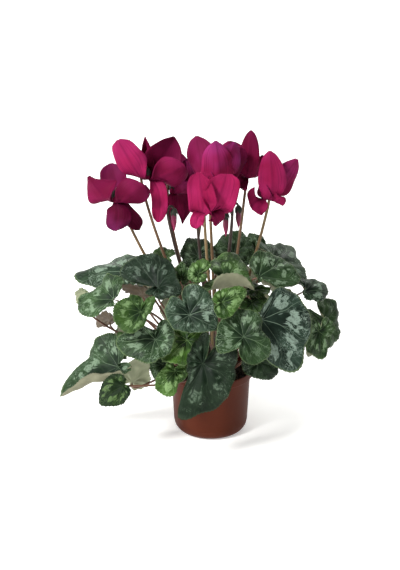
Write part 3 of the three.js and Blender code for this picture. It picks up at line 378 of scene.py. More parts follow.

# How lit each petal is painted, from 0, deep, to 1, bright, and how violet it is, partly its own tinge and
# partly a painted highlight, in the order of the blooms' rows
PETAL_LOOKS = [
    ((0.3, 0.1), (0.2, 0.3), (0.0, 0.35), (0.2, 0.1), (0.0, 0.0)),
    ((0.95, 0.0), (0.3, 0.1), (0.4, 0.1), (0.9, 0.15), (0.4, 0.1)),
    ((0.35, 0.0), (0.25, 0.3), (0.45, 0.3), (0.25, 0.0), (0.3, 0.3)),
    ((0.35, 0.2), (0.85, 0.7), (0.6, 1.0), (0.2, 0.1), (0.1, 0.0)),
    ((0.85, 0.0), (1.0, 0.0), (0.4, 0.0), (1.0, 0.0), (0.4, 0.0)),
    ((0.4, 0.1), (0.45, 0.2), (0.1, 0.0), (0.25, 0.0), (0.2, 0.0)),
    ((0.5, 0.1), (0.55, 0.0), (0.7, 0.1), (0.5, 0.0), (0.5, 0.3)),
    ((0.5, 0.3), (0.5, 0.3), (0.5, 0.3), (0.5, 0.3), (0.5, 0.3)),
]

# How brown each flower stalk is
STALK_SHADES = (0.6, 0.3, 0.2, 0.5, 1.0, 0.4, 0.9, 0.5)

# The finer relief of the blades, in millimetres: swellings between the veins, the dip at the stalk, the
# margin's ripples and teeth, its unevenness as a share of the leaf, and soft crumples with their size
QUILT = 2.6
FUNNEL = 2.6
RIPPLE = 0.9
RIPPLES = 17
TOOTH = 0.45
UNEVEN = 0.011
CRUMPLE = 2.2
CRUMPLE_SIZE = 15

# The petals' ripples, the groove down their middle, and soft crumples with their size, in millimetres
PETAL_RIPPLE = 2.0
PETAL_GROOVE = 1.0
PETAL_CRUMPLE = 2.0
PETAL_CRUMPLE_SIZE = 13

# The order of the materials of a leaf, of a bloom, and of a flower stalk or bud
UPPER, UNDER, PETIOLE = 0, 1, 2
PETAL, TUBE = 0, 1
SCAPE, CALYX, BUD = 0, 1, 2

# The look of a part that is the same all over
EVEN_LOOK = (0.5, 0.5, 0)


# Shapes: curves, places and surfaces

def through(stations, places):
    """A smooth curve through [place, value] stations, read at an array of places."""
    xs = np.array([s[0] for s in stations], float)
    ys = np.array([s[1] for s in stations], float)
    slopes = np.empty(len(xs))
    slopes[1:-1] = (ys[2:] - ys[:-2]) / (xs[2:] - xs[:-2])
    slopes[0] = (ys[1] - ys[0]) / (xs[1] - xs[0])
    slopes[-1] = (ys[-1] - ys[-2]) / (xs[-1] - xs[-2])
    after = np.clip(np.searchsorted(xs, places), 1, len(xs) - 1)
    width = xs[after] - xs[after - 1]
    u = (places - xs[after - 1]) / width
    ease = u * u * (3 - 2 * u)
    hump = u * (1 - u)
    rise = (ys[after] - ys[after - 1]) * ease
    return ys[after - 1] + rise + width * hump * ((1 - u) * slopes[after - 1] - u * slopes[after])


def bezier(start, second, third, end, shares):
    """Points of a cubic curve at an array of shares of its way."""
    t = np.asarray(shares, float)[:, None]
    return (
        (1 - t) ** 3 * np.array(start)
        + 3 * (1 - t) ** 2 * t * np.array(second)
        + 3 * (1 - t) * t * t * np.array(third)
        + t ** 3 * np.array(end)
    )


def smoothed(points, steps):
    """A soft line through points, with a few steps between each two."""
    p = np.array(points, float)
    p = np.vstack([2 * p[0] - p[1], p, 2 * p[-1] - p[-2]])
    line = []
    for i in range(1, len(p) - 2):
        for k in range(steps):
            t = k / steps
            line.append(0.5 * (
                2 * p[i]
                + (p[i + 1] - p[i - 1]) * t
                + (2 * p[i - 1] - 5 * p[i] + 4 * p[i + 1] - p[i + 2]) * t * t
                + (3 * p[i] - p[i - 1] - 3 * p[i + 1] + p[i + 2]) * t ** 3
            ))
    line.append(p[-2])
    return np.array(line)


def unit(vector):
    return np.array(vector, float) / np.linalg.norm(vector)


def level(degrees):
    """The level direction at an angle from +X."""
    turn = math.radians(degrees)
    return np.array([math.cos(turn), math.sin(turn), 0])


def seeded_draw(seed):
    """A repeatable draw between 0 and 1."""
    state = [seed]

    def draw():
        state[0] = (state[0] * 16807) % 2147483647
        return state[0] / 2147483647

    return draw


def back_leaves():
    """The far side's leaves, by rule with seeded draws."""
    draw = seeded_draw(SEED)

    def vary(size):
        return (draw() - 0.5) * 2 * size

    placed = []
    for ring in BACK_RINGS:
        for k in range(ring["count"]):
            azimuth = ring["from"] + ring["step"] * k + vary(3)
            radius = ring["radius"] + vary(5)
            turn = math.radians(azimuth)
            hub = [radius * math.cos(turn), radius * math.sin(turn), ring["height"] + vary(6)]
            pose = [azimuth + vary(8), ring["droop"] + vary(5), vary(14)]
            shape = [0.1, 0.1, 0.06, 5, vary(180)]
            placed.append((azimuth, [hub, pose, ring["length"] + vary(3), 1, shape, [], [0, 0], []]))
    placed.sort(key=lambda entry: entry[0])
    return [[f"leaf_back_{index // 2 + 1}", *row] for index, (_, row) in enumerate(placed)]


def crown_places(aims):
    """Where each stem stands on the tuber's crown: steep ones in the middle, low ones round the outside."""
    places = []
    for index, (x, y, z) in enumerate(aims):
        steepness = math.atan2(z - SOIL_TOP, math.hypot(x, y)) / (math.pi / 2)
        radius = STEM_RING * max(0, 1 - steepness) ** 0.7
        azimuth = math.atan2(y, x) + index * 1e-3
        places.append([radius * math.cos(azimuth), radius * math.sin(azimuth)])
    for _ in range(300):
        for i in range(len(places)):
            for j in range(i):
                dx = places[i][0] - places[j][0]
                dy = places[i][1] - places[j][1]
                apart = math.hypot(dx, dy)
                if apart >= STEM_SPACING:
                    continue
                push = (STEM_SPACING - apart) / 2 / apart
                places[i] = [places[i][0] + dx * push, places[i][1] + dy * push]
                places[j] = [places[j][0] - dx * push, places[j][1] - dy * push]
        for place in places:
            radius = math.hypot(*place)
            if radius > STEM_RING:
                place[0] *= STEM_RING / radius
                place[1] *= STEM_RING / radius
    return places


def root_at(place):
    """A stem's root: where it leaves the tuber, and its direction in the tuber and above it."""
    x, y = place
    radius = math.hypot(x, y)

    def towards(lean):
        turn = math.radians(lean) * (radius / STEM_RING)
        outward = math.sin(turn) / radius if radius > 0 else 0
        return np.array([x * outward, y * outward, math.cos(turn)])

    return {"exit": np.array([x, y, CROWN_TOP]), "down": towards(ROOT_LEAN), "along": towards(STEM_LEAN)}


def leaf_frame(turn):
    """The directions of a leaf: its tip's, the one across it and its face's normal."""
    f, d, s = [math.radians(angle) for angle in turn]
    down = np.array([math.cos(f) * math.cos(d), math.sin(f) * math.cos(d), -math.sin(d)])
    normal = np.array([math.cos(f) * math.sin(d), math.sin(f) * math.sin(d), math.cos(d)])
    side = np.cross(normal, down)
    tip = down * math.cos(s) + side * math.sin(s)
    return tip, np.cross(normal, tip), normal


def own_reach(outline, angle):
    """How far a leaf with its own outline reaches; both sides of its notch meet behind the stalk."""
    given = [at for at, _ in outline]
    first = [] if -180 in given else [[-180, NOTCH_REACH]]
    last = [] if 180 in given else [[180, NOTCH_REACH]]
    return np.maximum(NOTCH_REACH, through(first + outline + last, angle))


def leaf_surface(leaf, angle, share, teeth):
    """Points of a leaf's middle surface, and the flat leaf's coordinates in millimetres."""
    _, hub, turn, length, breadth, (dome, fold, wave, waves, phase), curls, _, outline = leaf
    tip, side, normal = leaf_frame(turn)
    a = np.radians(angle)
    if outline:
        reach = own_reach(outline, angle)
    else:
        facets = MARGIN_FACETS * share * np.cos(np.radians(7 * angle + phase))
        reach = through(LEAF_REACH, np.abs(angle)) * (1 + facets)
    # The margin is a little uneven, and toothed
    uneven = np.sin(np.radians(8 * angle + 2 * phase)) + 0.7 * np.sin(np.radians(13 * angle - phase))
    reach = reach + UNEVEN * uneven + teeth / length
    u = share * reach * np.cos(a)
    v = share * reach * breadth * np.sin(a)
    flat = np.stack([u * length, v * length], 1)
    # The blade is domed, folded along its middle, waved and turned up at its notch
    w = -dome * (u * u + v * v) + fold * (np.hypot(v, FOLD_SOFTNESS) - FOLD_SOFTNESS)
    w = w + wave * share ** 3 * np.sin(np.radians(waves * angle + phase))
    w = w + NOTCH_UPTURN * share * share * np.maximum(0, -np.cos(a)) ** 1.5
    # It swells a little between its main veins and dips to its stalk
    between = np.abs(np.sin(np.pi * VEINS * angle / 360)) ** 1.4
    relief = QUILT * between * np.sin(np.pi * np.clip(share, 0, 1)) * np.minimum(1, 2 * share)
    relief = relief + FUNNEL * (1 - np.exp(-4 * share))
    # It is softly crumpled, and its margin ripples
    seed = hub[0] * 0.37 + hub[2] * 0.11
    soft = [noise.noise(Vector((x / CRUMPLE_SIZE, y / CRUMPLE_SIZE, seed))) for x, y in flat]
    relief = relief + CRUMPLE * np.array(soft) * np.minimum(1, 3 * share)
    relief = relief + RIPPLE * share ** 6 * np.sin(np.radians(RIPPLES * angle + 3 * phase))
    w = w + relief / length
    for towards, start, radius, sense in curls:
        cu, cv = math.cos(math.radians(towards)), math.sin(math.radians(towards))
        past = np.maximum(0, (u * cu + v * cv - start) * length)
        turned_by = past / radius
        out = radius * np.sin(turned_by) - sense * w * length * np.sin(turned_by)
        shift = np.where(past > 0, (out - past) / length, 0)
        curled = sense * radius * (1 - np.cos(turned_by)) / length + w * np.cos(turned_by)
        w = np.where(past > 0, curled, w)
        u = u + shift * cu
        v = v + shift * cv
    places = np.array(hub, float) + length * (u[:, None] * tip + v[:, None] * side + w[:, None] * normal)
    return places, flat


# Meshes

def in_scene(name, data):
    """A new object, linked into the scene."""
    made = bpy.data.objects.new(name, data)
    bpy.context.scene.collection.objects.link(made)
    return made


class Piece:
    """The mesh of one piece while it is built: points in millimetres, faces with their material, and the
    corners' two maps and the points' looks that the materials read."""

    def __init__(self):
        self.points = []
        self.count = 0
        self.faces = []
        self.kinds = []
        self.polar = []
        self.flat = []
        self.looks = []

    def add(self, points, faces, kind, polar=None, flat=None, look=(0, 0, 0)):
        """Adds points and faces; polar and flat are corner maps in the order of the faces' corners."""
        start = self.count
        self.points.append(np.asarray(points, float))
        self.count += len(points)
        corners = sum(len(face) for face in faces)
        self.faces.extend([tuple(start + i for i in face) for face in faces])
        self.kinds.extend([kind] * len(faces))
        self.polar.extend(polar or [(0.5, 0.5)] * corners)
        self.flat.extend(flat or [(0.0, 0.0)] * corners)
        self.looks.append(np.tile(np.asarray(look, float), (len(points), 1)))

    def sheet(self, points, faces, offsets, kinds, looks, polar=None, flat=None):
        """Adds both sides of a thin sheet, each set off along the normals. The second one's corners run the
        other way round."""
        normals = point_normals(points, faces)
        self.add(points + offsets[0] * normals, faces, kinds[0], polar, flat, looks[0])
        ends = np.cumsum([len(face) for face in faces])
        back = [end - 1 - k for end, face in zip(ends, faces) for k in range(len(face))]
        polar, flat = [layer and [layer[i] for i in back] for layer in (polar, flat)]
        faces = [face[::-1] for face in faces]
        self.add(points + offsets[1] * normals, faces, kinds[1], polar, flat, looks[1])

    def close(self, loop, size, kind, polar, flat=(0.0, 0.0)):
        """Joins both sides of the last sheet, of this many points, along a closed loop of its edge. Each map
        place is one for the whole loop, or a list with one for each face."""
        first = self.count - 2 * size
        for k, (a, b) in enumerate(zip(loop, loop[1:] + loop[:1])):
            self.faces.append((first + b, first + a, first + size + a, first + size + b))
            self.kinds.append(kind)
            self.polar += [polar[k] if isinstance(polar, list) else polar] * 4
            self.flat += [flat[k] if isinstance(flat, list) else flat] * 4

    def make(self, name, node, materials):
        """The finished object, which stands for its CAD node."""
        mesh = bpy.data.meshes.new(name)
        mesh.from_pydata((np.vstack(self.points) * MM).tolist(), [], self.faces)
        for material in materials:
            mesh.materials.append(material)
        mesh.polygons.foreach_set("material_index", self.kinds)
        mesh.polygons.foreach_set("use_smooth", [True] * len(self.faces))
        for layer, values in (("polar", self.polar), ("flat", self.flat)):
            made = mesh.uv_layers.new(name=layer)
            made.data.foreach_set("uv", np.array(values, np.float32).ravel())
        look = mesh.attributes.new("look", "FLOAT_VECTOR", "POINT")
        look.data.foreach_set("vector", np.vstack(self.looks).astype(np.float32).ravel())
        mesh.validate()
        mesh.update()
        piece = in_scene(name, mesh)
        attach(piece, "root")
        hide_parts(node)
        return piece


def point_normals(points, faces):
    """The mean normal of the faces round each point."""
    normals = np.zeros_like(points)
    for size in (3, 4):
        chosen = np.array([face for face in faces if len(face) == size])
        if not len(chosen):
            continue
        a, b, c = (points[chosen[:, k]] for k in (0, 1, 2))
        d = points[chosen[:, 3]] if size == 4 else a
        normal = np.cross(c - a, d - b)
        for k in range(size):
            np.add.at(normals, chosen[:, k], normal)
    length = np.linalg.norm(normals, axis=1, keepdims=True)
    return normals / np.maximum(length, 1e-12)


def band(low, high, count):
    """Faces between two closed rings of points."""
    return [(low + k, high + k, high + (k + 1) % count, low + (k + 1) % count) for k in range(count)]


def tube(piece, line, radii, sides, kind, look=(0, 0, 0)):
    """A round stem along a line, closed at both ends."""
    line = np.array(line, float)
    along = np.gradient(line, axis=0)
    along /= np.linalg.norm(along, axis=1, keepdims=True)
    across = np.array([1.0, 0.0, 0.0])
    rings = []
    for place, direction, radius in zip(line, along, radii):
        across = unit(across - direction * across.dot(direction))
        up = np.cross(direction, across)
        for k in range(sides):
            turn = 2 * math.pi * k / sides
            rings.append(place + radius * (math.cos(turn) * across + math.sin(turn) * up))
    faces = []
    polar = []
    last = len(line) - 1
    for i in range(last):
        for k in range(sides):
            a, b = i * sides + k, i * sides + (k + 1) % sides
            faces.append((a, b, b + sides, a + sides))
            left, right = k / sides, (k + 1) / sides
            polar += [(left, i / last), (right, i / last), (right, (i + 1) / last), (left, (i + 1) / last)]
    faces.append(tuple(range(sides))[::-1])
    faces.append(tuple(last * sides + k for k in range(sides)))
    polar += [(0.5, 0.0)] * sides + [(0.5, 1.0)] * sides
    piece.add(rings, faces, kind, polar=polar, look=look)


def turned(piece, profile, sides, kind, middle=(0, 0, 0), swell=None, look=(0, 0, 0)):
    """A surface of revolution about an upright axis; swell gives its radius a factor by turn and height."""
    rings = []
    faces = []
    polar = []
    starts = []
    for radius, height in profile:
        starts.append(len(rings))
        if radius == 0:
            rings.append((middle[0], middle[1], middle[2] + height))
            continue
        for k in range(sides):
            turn = 2 * math.pi * k / sides
            wide = radius * (swell(turn, height) if swell else 1)
            x, y = wide * math.cos(turn), wide * math.sin(turn)
            rings.append((middle[0] + x, middle[1] + y, middle[2] + height))
    for i in range(len(profile) - 1):
        low, high = starts[i], starts[i + 1]
        for k in range(sides):
            n = (k + 1) % sides
            if profile[i][0] == 0:
                faces.append((low, high + n, high + k))
            elif profile[i + 1][0] == 0:
                faces.append((low + k, low + n, high))
            else:
                faces.append((low + k, low + n, high + n, high + k))
            for corner in faces[-1]:
                ring = i if corner < high else i + 1
                polar.append((k / sides, ring / (len(profile) - 1)))
    piece.add(rings, faces, kind, polar=polar, look=look)


def rounded(profile, radius):
    """The profile with its corners rounded by a curve that starts this far from each corner."""
    made = [profile[0]]
    for before, corner, after in zip(profile, profile[1:], profile[2:]):
        before, corner, after = (np.array(p, float) for p in (before, corner, after))
        sides = [np.linalg.norm(before - corner), np.linalg.norm(after - corner)]
        cut = min([radius] + [0.45 * side for side in sides])
        start = corner + (before - corner) * cut / sides[0]
        end = corner + (after - corner) * cut / sides[1]
        for t in (0, 0.25, 0.5, 0.75, 1):
            made.append(tuple((1 - t) ** 2 * start + 2 * t * (1 - t) * corner + t * t * end))
    made.append(profile[-1])
    return made


# Leaves

def leaf_blade(piece, leaf, look):
    """The blade: a top and an underside on rings of points round the stalk, with a toothed margin."""
    spokes = 2 * int(np.clip(round(leaf[3] * 0.9), 30, 60))
    outer = 2 * spokes

    def angles(count):
        half = 2 * np.arange(count) / count - 1
        return np.sign(half) * 180 * (1 - (1 - np.abs(half)) ** 1.3)

    rings = (np.arange(1, BLADE_RINGS) / BLADE_RINGS) ** 0.85
    angle = np.concatenate([[0.0], np.tile(angles(spokes), len(rings)), angles(outer)])
    share = np.concatenate([[0.0], np.repeat(rings, spokes), np.ones(outer)])
    teeth = np.zeros(len(angle))
    teeth[-outer:] = TOOTH * (1 - 2 * (np.arange(outer) % 2))
    points, flat = leaf_surface(leaf, angle, share, teeth)

    faces = [(0, 1 + k, 1 + (k + 1) % spokes) for k in range(spokes)]
    low = 1
    for _ in rings[1:]:
        faces += band(low, low + spokes, spokes)
        low += spokes
    # The margin has two points for each spoke, so that each spoke has a tooth
    high = low + spokes
    for k in range(spokes):
        n = (k + 1) % spokes
        first, middle, last = high + 2 * k, high + 2 * k + 1, high + 2 * n
        faces += [(low + k, first, middle), (low + k, middle, low + n), (low + n, middle, last)]

    around = angle / 360 + 0.5
    polar = []
    for face in faces:
        turns = [around[i] for i in face if i]
        wraps = max(turns) - min(turns) > 0.5
        turns = [t + 1 if wraps and t < 0.5 else t for t in turns]
        if face[0] == 0:
            turns = [sum(turns) / 2] + turns
        polar += [(t, share[i]) for t, i in zip(turns, face)]
    flats = [tuple(flat[i]) for face in faces for i in face]
    half = BLADE_THICKNESS / 2
    piece.sheet(points, faces, (half, -half), (UPPER, UNDER), (look[:3], look[[0, 1, 3]]), polar, flats)
    edge_polar = [((k + 0.5) / outer, 1.0) for k in range(outer)]
    edge_flat = [tuple(place) for place in flat[high:]]
    piece.close(list(range(high, high + outer)), len(points), UPPER, edge_polar, edge_flat)


def stalk_curve(root, leave, top, arrive, bend, shares):
    """The line of a stalk above the tuber, from the direction in which it leaves."""
    bow, rise = bend
    top = np.array(top, float)
    start = root["exit"] + ROOT_RISE * root["down"]
    far = np.linalg.norm(top - start)
    aside = unit([-top[1], top[0], 0]) * bow + np.array([0, 0, rise])
    second = start + leave * far * 0.38 + aside
    third = top + np.array(arrive) * far * 0.3 + aside * 0.6
    return bezier(start, second, third, top, shares)


def leaf_stalk(piece, leaf, root, look):
    """A leaf's stalk, from inside the tuber to inside its blade."""
    tip, _, normal = leaf_frame(leaf[2])
    arrive = -0.8 * normal - 0.5 * tip
    curve = stalk_curve(root, root["along"], leaf[1], arrive, leaf[7], np.linspace(0, 1, 25))
    line = np.vstack([root["exit"] - ROOT_DEPTH * root["down"], curve])
    radii = PETIOLE_RADIUS * np.linspace(1, 0.8, len(line))
    line[-1] -= 0.1 * normal
    radii[-2:] = [PETIOLE_RADIUS * 0.72, 0.35]
    tube(piece, line, radii, 10, PETIOLE, look[:3])


# Blooms and buds

def petal(piece, mouth, hook_side, shape, look):
    """A petal: it leaves the mouth outwards, bends back to its tip and widens past its middle."""
    tip, width, facing, cup, bow, form = shape
    rows, columns = 30, 16
    aside = (math.degrees(math.atan2(tip[1], tip[0])) - hook_side) % 360
    out = level(hook_side + min(360 - HOOK_ROOM, max(HOOK_ROOM, aside)))
    mouth = np.array(mouth, float)
    reach = np.array(tip, float)
    start = mouth + PETAL_START * out
    second = start + PETAL_SPREAD * out - np.array([0, 0, PETAL_DROP])
    third = mouth + PETAL_SWEEP[0] * reach + PETAL_SWEEP[1] * out
    s = 1 - (1 - np.arange(rows + 1) / rows) ** 1.4
    middle = bezier(start, second, third, mouth + reach, s)
    along = np.gradient(middle, axis=0)
    along /= np.linalg.norm(along, axis=1, keepdims=True)
    # It turns from lying along the mouth's edge to facing its own way
    base_side = np.cross([0, 0, 1], out)
    tip_side = unit(np.cross(unit(reach), level(facing)))
    if tip_side.dot(base_side) < 0:
        tip_side = -tip_side
    turn = np.minimum(1, s / PETAL_TURNED_AT)
    ease = (turn * turn * (3 - 2 * turn))[:, None]
    side = (1 - ease) * base_side + ease * tip_side
    side -= along * (side * along).sum(1, keepdims=True)
    side /= np.linalg.norm(side, axis=1, keepdims=True)
    normal = np.cross(along, side)
    middle = middle + side * (bow * np.sin(np.pi * s))[:, None]
    half = (width / 2) * through(PETAL_FORMS[form], s)[:, None]
    # Its relief: the cup, ripples at the margin, a groove down the middle and soft crumples
    s, v = np.meshgrid(s, np.linspace(-1, 1, columns + 1), indexing="ij")
    grown = np.minimum(1, 3 * s)
    lift = 2 * cup * v * v * half
    lift = lift + PETAL_RIPPLE * np.abs(v) ** 3 * np.sin(12 * s + 6.28 * look[1] + 1.5 * v) * grown
    lift = lift - PETAL_GROOVE * np.exp(-((v / 0.13) ** 2)) * np.sin(np.pi * s)
    spots = zip((s * np.linalg.norm(reach)).ravel(), (v * half).ravel())
    soft = [noise.noise(Vector((x, y, 40 * look[1])) / PETAL_CRUMPLE_SIZE) for x, y in spots]
    lift = lift + PETAL_CRUMPLE * np.reshape(soft, v.shape) * grown
    points = middle[:, None] + side[:, None] * (v * half)[..., None] + normal[:, None] * lift[..., None]
    points = points.reshape(-1, 3)
    grid = np.arange(len(points)).reshape(v.shape)
    step = columns + 1
    faces = [(a, a + 1, a + step + 1, a + step) for a in grid[:-1, :-1].ravel().tolist()]
    polar = [(i % step / columns, i // step / rows) for face in faces for i in face]
    thin = PETAL_THICKNESS / 2
    piece.sheet(points, faces, (thin, -thin), (PETAL, PETAL), (look, look), polar)
    edge = np.concatenate([grid[0], grid[1:, -1], grid[-1, -2::-1], grid[-2:0:-1, 0]])
    piece.close(edge.tolist(), len(points), PETAL, (0.02, 0.98))


def bloom(row, index):
    """A bloom: its short tube, open below, and five petals swept back."""
    node, mouth, hook_side, _, petals = row
    piece = Piece()
    wall = [
        (0, 5), (2.6, 4.6), (3.5, 2.5), (3.7, 0.3), (MOUTH_RADIUS, 0), (MOUTH_RADIUS + 0.2, 1.4),
        (MOUTH_RADIUS, 3), (3.6, 6), (3.0, TUBE_LENGTH), (0, TUBE_LENGTH),
    ]
    turned(piece, rounded(wall, 0.6), 30, TUBE, mouth, look=EVEN_LOOK)
    for k, (shape, (shade, violet)) in enumerate(zip(petals, PETAL_LOOKS[index])):
        petal(piece, mouth, hook_side, shape, (shade, (index * 5 + k) * 0.37 % 1, violet))
    piece.make(f"{node}_petals", node, [petal_material, tube_material])


def hook_line(root, top, hook_side, drop, bend):
    """The line of a flower stalk: up beside the flower, over and down into it."""
    out = level(hook_side)
    end = [
        np.array(top, float) + out * aside + np.array([0, 0, up])
        for aside, up in ((HOOK_ASIDE, -drop), *HOOK_LINE)
    ]
    back = 0.7 * unit(root["exit"] - end[0]) - np.array([0, 0, 0.3])
    line = stalk_curve(root, root["down"], end[0], back, bend, np.linspace(0, 1, 9))
    line = smoothed(np.vstack([line, end[1:]]), 5)
    return np.vstack([root["exit"] - ROOT_DEPTH * root["down"], line])


def calyx(piece, top):
    """The calyx: a cup with five pointed lobes that lie on the flower's tube."""
    rows, columns = 8, 40
    t, turn = np.meshgrid(np.arange(rows + 1) / rows, 2 * np.pi * np.arange(columns) / columns, indexing="ij")
    lobe = np.abs(np.cos(2.5 * turn)) ** 0.8
    drop = 4.4 - t * (4.6 + 4.2 * lobe)
    radius = 1.75 + 2.6 * np.sin(np.minimum(1, 1.3 * t) * np.pi / 2) * (1 + 0.05 * lobe)
    points = np.stack([radius * np.cos(turn), radius * np.sin(turn), drop], 2).reshape(-1, 3) + np.array(top)
    faces = []
    for i in range(rows):
        faces += band(i * columns, (i + 1) * columns, columns)
    piece.sheet(points, faces, (0, -CALYX_WALL), (CALYX, CALYX), (EVEN_LOOK, EVEN_LOOK))
    first = list(range(columns))
    last = [rows * columns + k for k in reversed(first)]
    for loop in (first, last):
        piece.close(loop, len(points), CALYX, (0.5, 0.5))


def hooked_stalk(piece, root, top, hook_side, drop, bend, thinning, shade):
    """The hooked stalk of a flower or bud, and the calyx at its end."""
    line = hook_line(root, top, hook_side, drop, bend)
    radii = SCAPE_RADIUS * np.linspace(1, thinning, len(line))
    tube(piece, line, radii, 12, SCAPE, (shade, 0.5, 0))
    calyx(piece, top)


def flower_stalk(row, index, root):
    """A flower's own stalk, which is a piece apart from its petals."""
    _, mouth, hook_side, bend, _ = row
    top = (mouth[0], mouth[1], mouth[2] + TUBE_LENGTH + GAP)
    piece = Piece()
    hooked_stalk(piece, root, top, hook_side, BLOOM_HOOK_DROP, bend, 0.72, STALK_SHADES[index])
    node = f"scape_{index + 1}"
    piece.make(f"{node}_stalk", node, [scape_material, calyx_material])


def bud(row, root):
    """A bud hangs point down from its hook, its petals wound round each other."""
    node, place, hook_side, length, bend = row
    piece = Piece()
    hooked_stalk(piece, root, place, hook_side, BUD_HOOK_DROP, bend, 0.7, 0.1)
    stations = [[-length, 0.05], [-length * 0.8, 1.5], [-length * 0.45, 3.2], [-length * 0.1, 2.9], [1, 2.2]]
    heights = np.linspace(-length, 1, 26)
    profile = [(max(0.05, r), h) for r, h in zip(through(stations, heights), heights)]

    def wound(turn, height):
        return 1 + 0.1 * math.cos(5 * turn + 0.32 * height)

    turned(piece, profile, 30, BUD, place, swell=wound, look=(0.3, 0.5, 0))
    piece.make(f"{node}_bud", node, [hook_material, calyx_material, bud_material])


# Pot, soil and tuber

def pot():
    """The pot: a moulded shell with a rim band, a round bottom corner and drain holes."""
    below = POT_HEIGHT - RIM_BAND
    lip = POT_RIM_RADIUS - POT_WALL
    near, far = FOOT_GROOVE
    profile = [
        (0, 0), (near, 0), (near + GROOVE_SLOPE, GROOVE_DEPTH), (far - GROOVE_SLOPE, GROOVE_DEPTH), (far, 0),
        (POT_FOOT_RADIUS, 0), *CORNER_OUTSIDE, (POT_BODY_RADIUS, below), (POT_RIM_RADIUS, below + 1),
        (POT_RIM_RADIUS, POT_HEIGHT), (lip, POT_HEIGHT), (lip, below + 2),
        (POT_BODY_RADIUS - POT_WALL, below), *CORNER_INSIDE, (0, POT_FLOOR),
    ]
    piece = Piece()
    turned(piece, rounded(profile, EDGE_ROUNDING), 144, 0)
    made = piece.make("pot_shell", "pot", [pot_material])
    holes = Piece()
    for k in range(DRAIN_HOLES):
        place = DRAIN_RING * level(360 * (k + 0.5) / DRAIN_HOLES)
        turned(holes, [(0, -1), (DRAIN_RADIUS, -1), (DRAIN_RADIUS, 4), (0, 4)], 32, 0, place)
    mesh = bpy.data.meshes.new("drain_cutters")
    mesh.from_pydata((np.vstack(holes.points) * MM).tolist(), [], holes.faces)
    cutter = in_scene("drain_cutters", mesh)
    cut = made.modifiers.new("drain", "BOOLEAN")
    cut.object = cutter
    cut.solver = "EXACT"
    bpy.context.view_layer.update()
    made.data = bpy.data.meshes.new_from_object(made.evaluated_get(bpy.context.evaluated_depsgraph_get()))
    made.modifiers.clear()
    bpy.data.objects.remove(cutter)
    bpy.data.meshes.remove(mesh)


def soil():
    """Moist peat: a crumbly top, and plain where the pot hides it."""
    piece = Piece()
    bottom = POT_FLOOR + GAP
    bed = SOIL_TOP - 0.6
    profile = [(0, bottom), (POT_FOOT_RADIUS, bottom), (43.8, 10.2), (SOIL_RADIUS, SOIL_TOP - 3)]
    profile += [(radius, bed) for radius in np.linspace(SOIL_RADIUS, SOIL_RADIUS - 20, 24)]
    profile += [(SOIL_HOLLOW, SOIL_TOP - 5), (SOIL_HOLLOW, 60), (0, 46)]
    turned(piece, profile, 160, 0)
    points = piece.points[0]
    radius = np.hypot(points[:, 0], points[:, 1])
    for i in np.nonzero((np.abs(points[:, 2] - bed) < 1e-6) & (radius > CROWN_RADIUS))[0]:
        x, y = points[i, :2]
        points[i, 2] += 1.6 * noise.noise(Vector((x / 7, y / 7, 0)))
        points[i, 2] += 0.9 * noise.noise(Vector((x / 2.2, y / 2.2, 4)))
    rng = random.Random(SEED)
    for _ in range(CRUMBS):
        spread = rng.uniform(27.5, 45.5)
        turn = rng.uniform(0, 2 * math.pi)
        size = rng.uniform(0.8, 2.0)
        crumb(piece, (spread * math.cos(turn), spread * math.sin(turn), SOIL_TOP + 0.2), size, rng)
    piece.make("soil_bed", "soil", [soil_material])


def crumb(piece, place, size, rng):
    """A rough grain of peat, half sunk in the bed: three rings of points between two poles."""
    x, y, z = place
    points = []
    for i in range(1, 4):
        for k in range(6):
            polar, turn = math.pi * i / 4, 2 * math.pi * (k + 0.5 * (i % 2)) / 6
            far = size * rng.uniform(0.75, 1.2)
            wide = far * math.sin(polar)
            high = 0.8 * far * math.cos(polar)
            points.append((x + wide * math.cos(turn), y + wide * math.sin(turn), z + high))
    points += [(x, y, z + 0.8 * size), (x, y, z - 0.8 * size)]
    faces = [(18, k, (k + 1) % 6) for k in range(6)] + [(19, 12 + (k + 1) % 6, 12 + k) for k in range(6)]
    piece.add(points, faces + band(0, 6, 6) + band(6, 12, 6), 0)


def tuber():
    """The tuber: a corky disc, half sunk in the soil, rough where old stalks have come off."""
    piece = Piece()
    top = CROWN_TOP - 0.2
    profile = [(0, TUBER_MIDDLE - TUBER_HALF_HEIGHT)]
    for degrees in range(170, 50, -10):
        turn = math.radians(degrees)
        height = TUBER_MIDDLE + (TUBER_HALF_HEIGHT - 0.4) * math.cos(turn)
        profile.append(((TUBER_RADIUS - 0.4) * math.sin(turn), height))
    profile.append((CROWN_RADIUS, CROWN_TOP - 1.2))
    profile += [(radius, top) for radius in np.linspace(CROWN_RADIUS - 1, 1, 16)] + [(0, top)]
    turned(piece, profile, 96, 0)
    points = piece.points[0]
    for i, place in enumerate(points):
        rough = 0.9 * noise.noise(Vector(place) / 6) + 0.45 * noise.noise(Vector(place) / 2)
        if place[2] > CROWN_TOP - 1:
            points[i, 2] += rough * 0.8
        else:
            points[i, :2] *= 1 + rough * 0.4 / TUBER_RADIUS
    piece.make("tuber_corm", "tuber", [tuber_material])


# Materials

def linear(code):
    """An sRGB hex colour as the linear colour that the shader takes."""
    channels = [int(code[i:i + 2], 16) / 255 for i in (1, 3, 5)]
    return tuple(c / 12.92 if c <= 0.04045 else ((c + 0.055) / 1.055) ** 2.4 for c in channels) + (1.0,)


def add(tree, kind, values=(), out=0, **settings):
    """Adds a node with its settings and gives one of its outputs. Its inputs take numbers or links."""
    made = tree.nodes.new("ShaderNode" + kind)
    for name, value in settings.items():
        setattr(made, name, value)
    for name, value in dict(values).items():
        if isinstance(value, bpy.types.NodeSocket):
            tree.links.new(value, made.inputs[name])
        else:
            made.inputs[name].default_value = value
    return None if out is None else made.outputs[out]


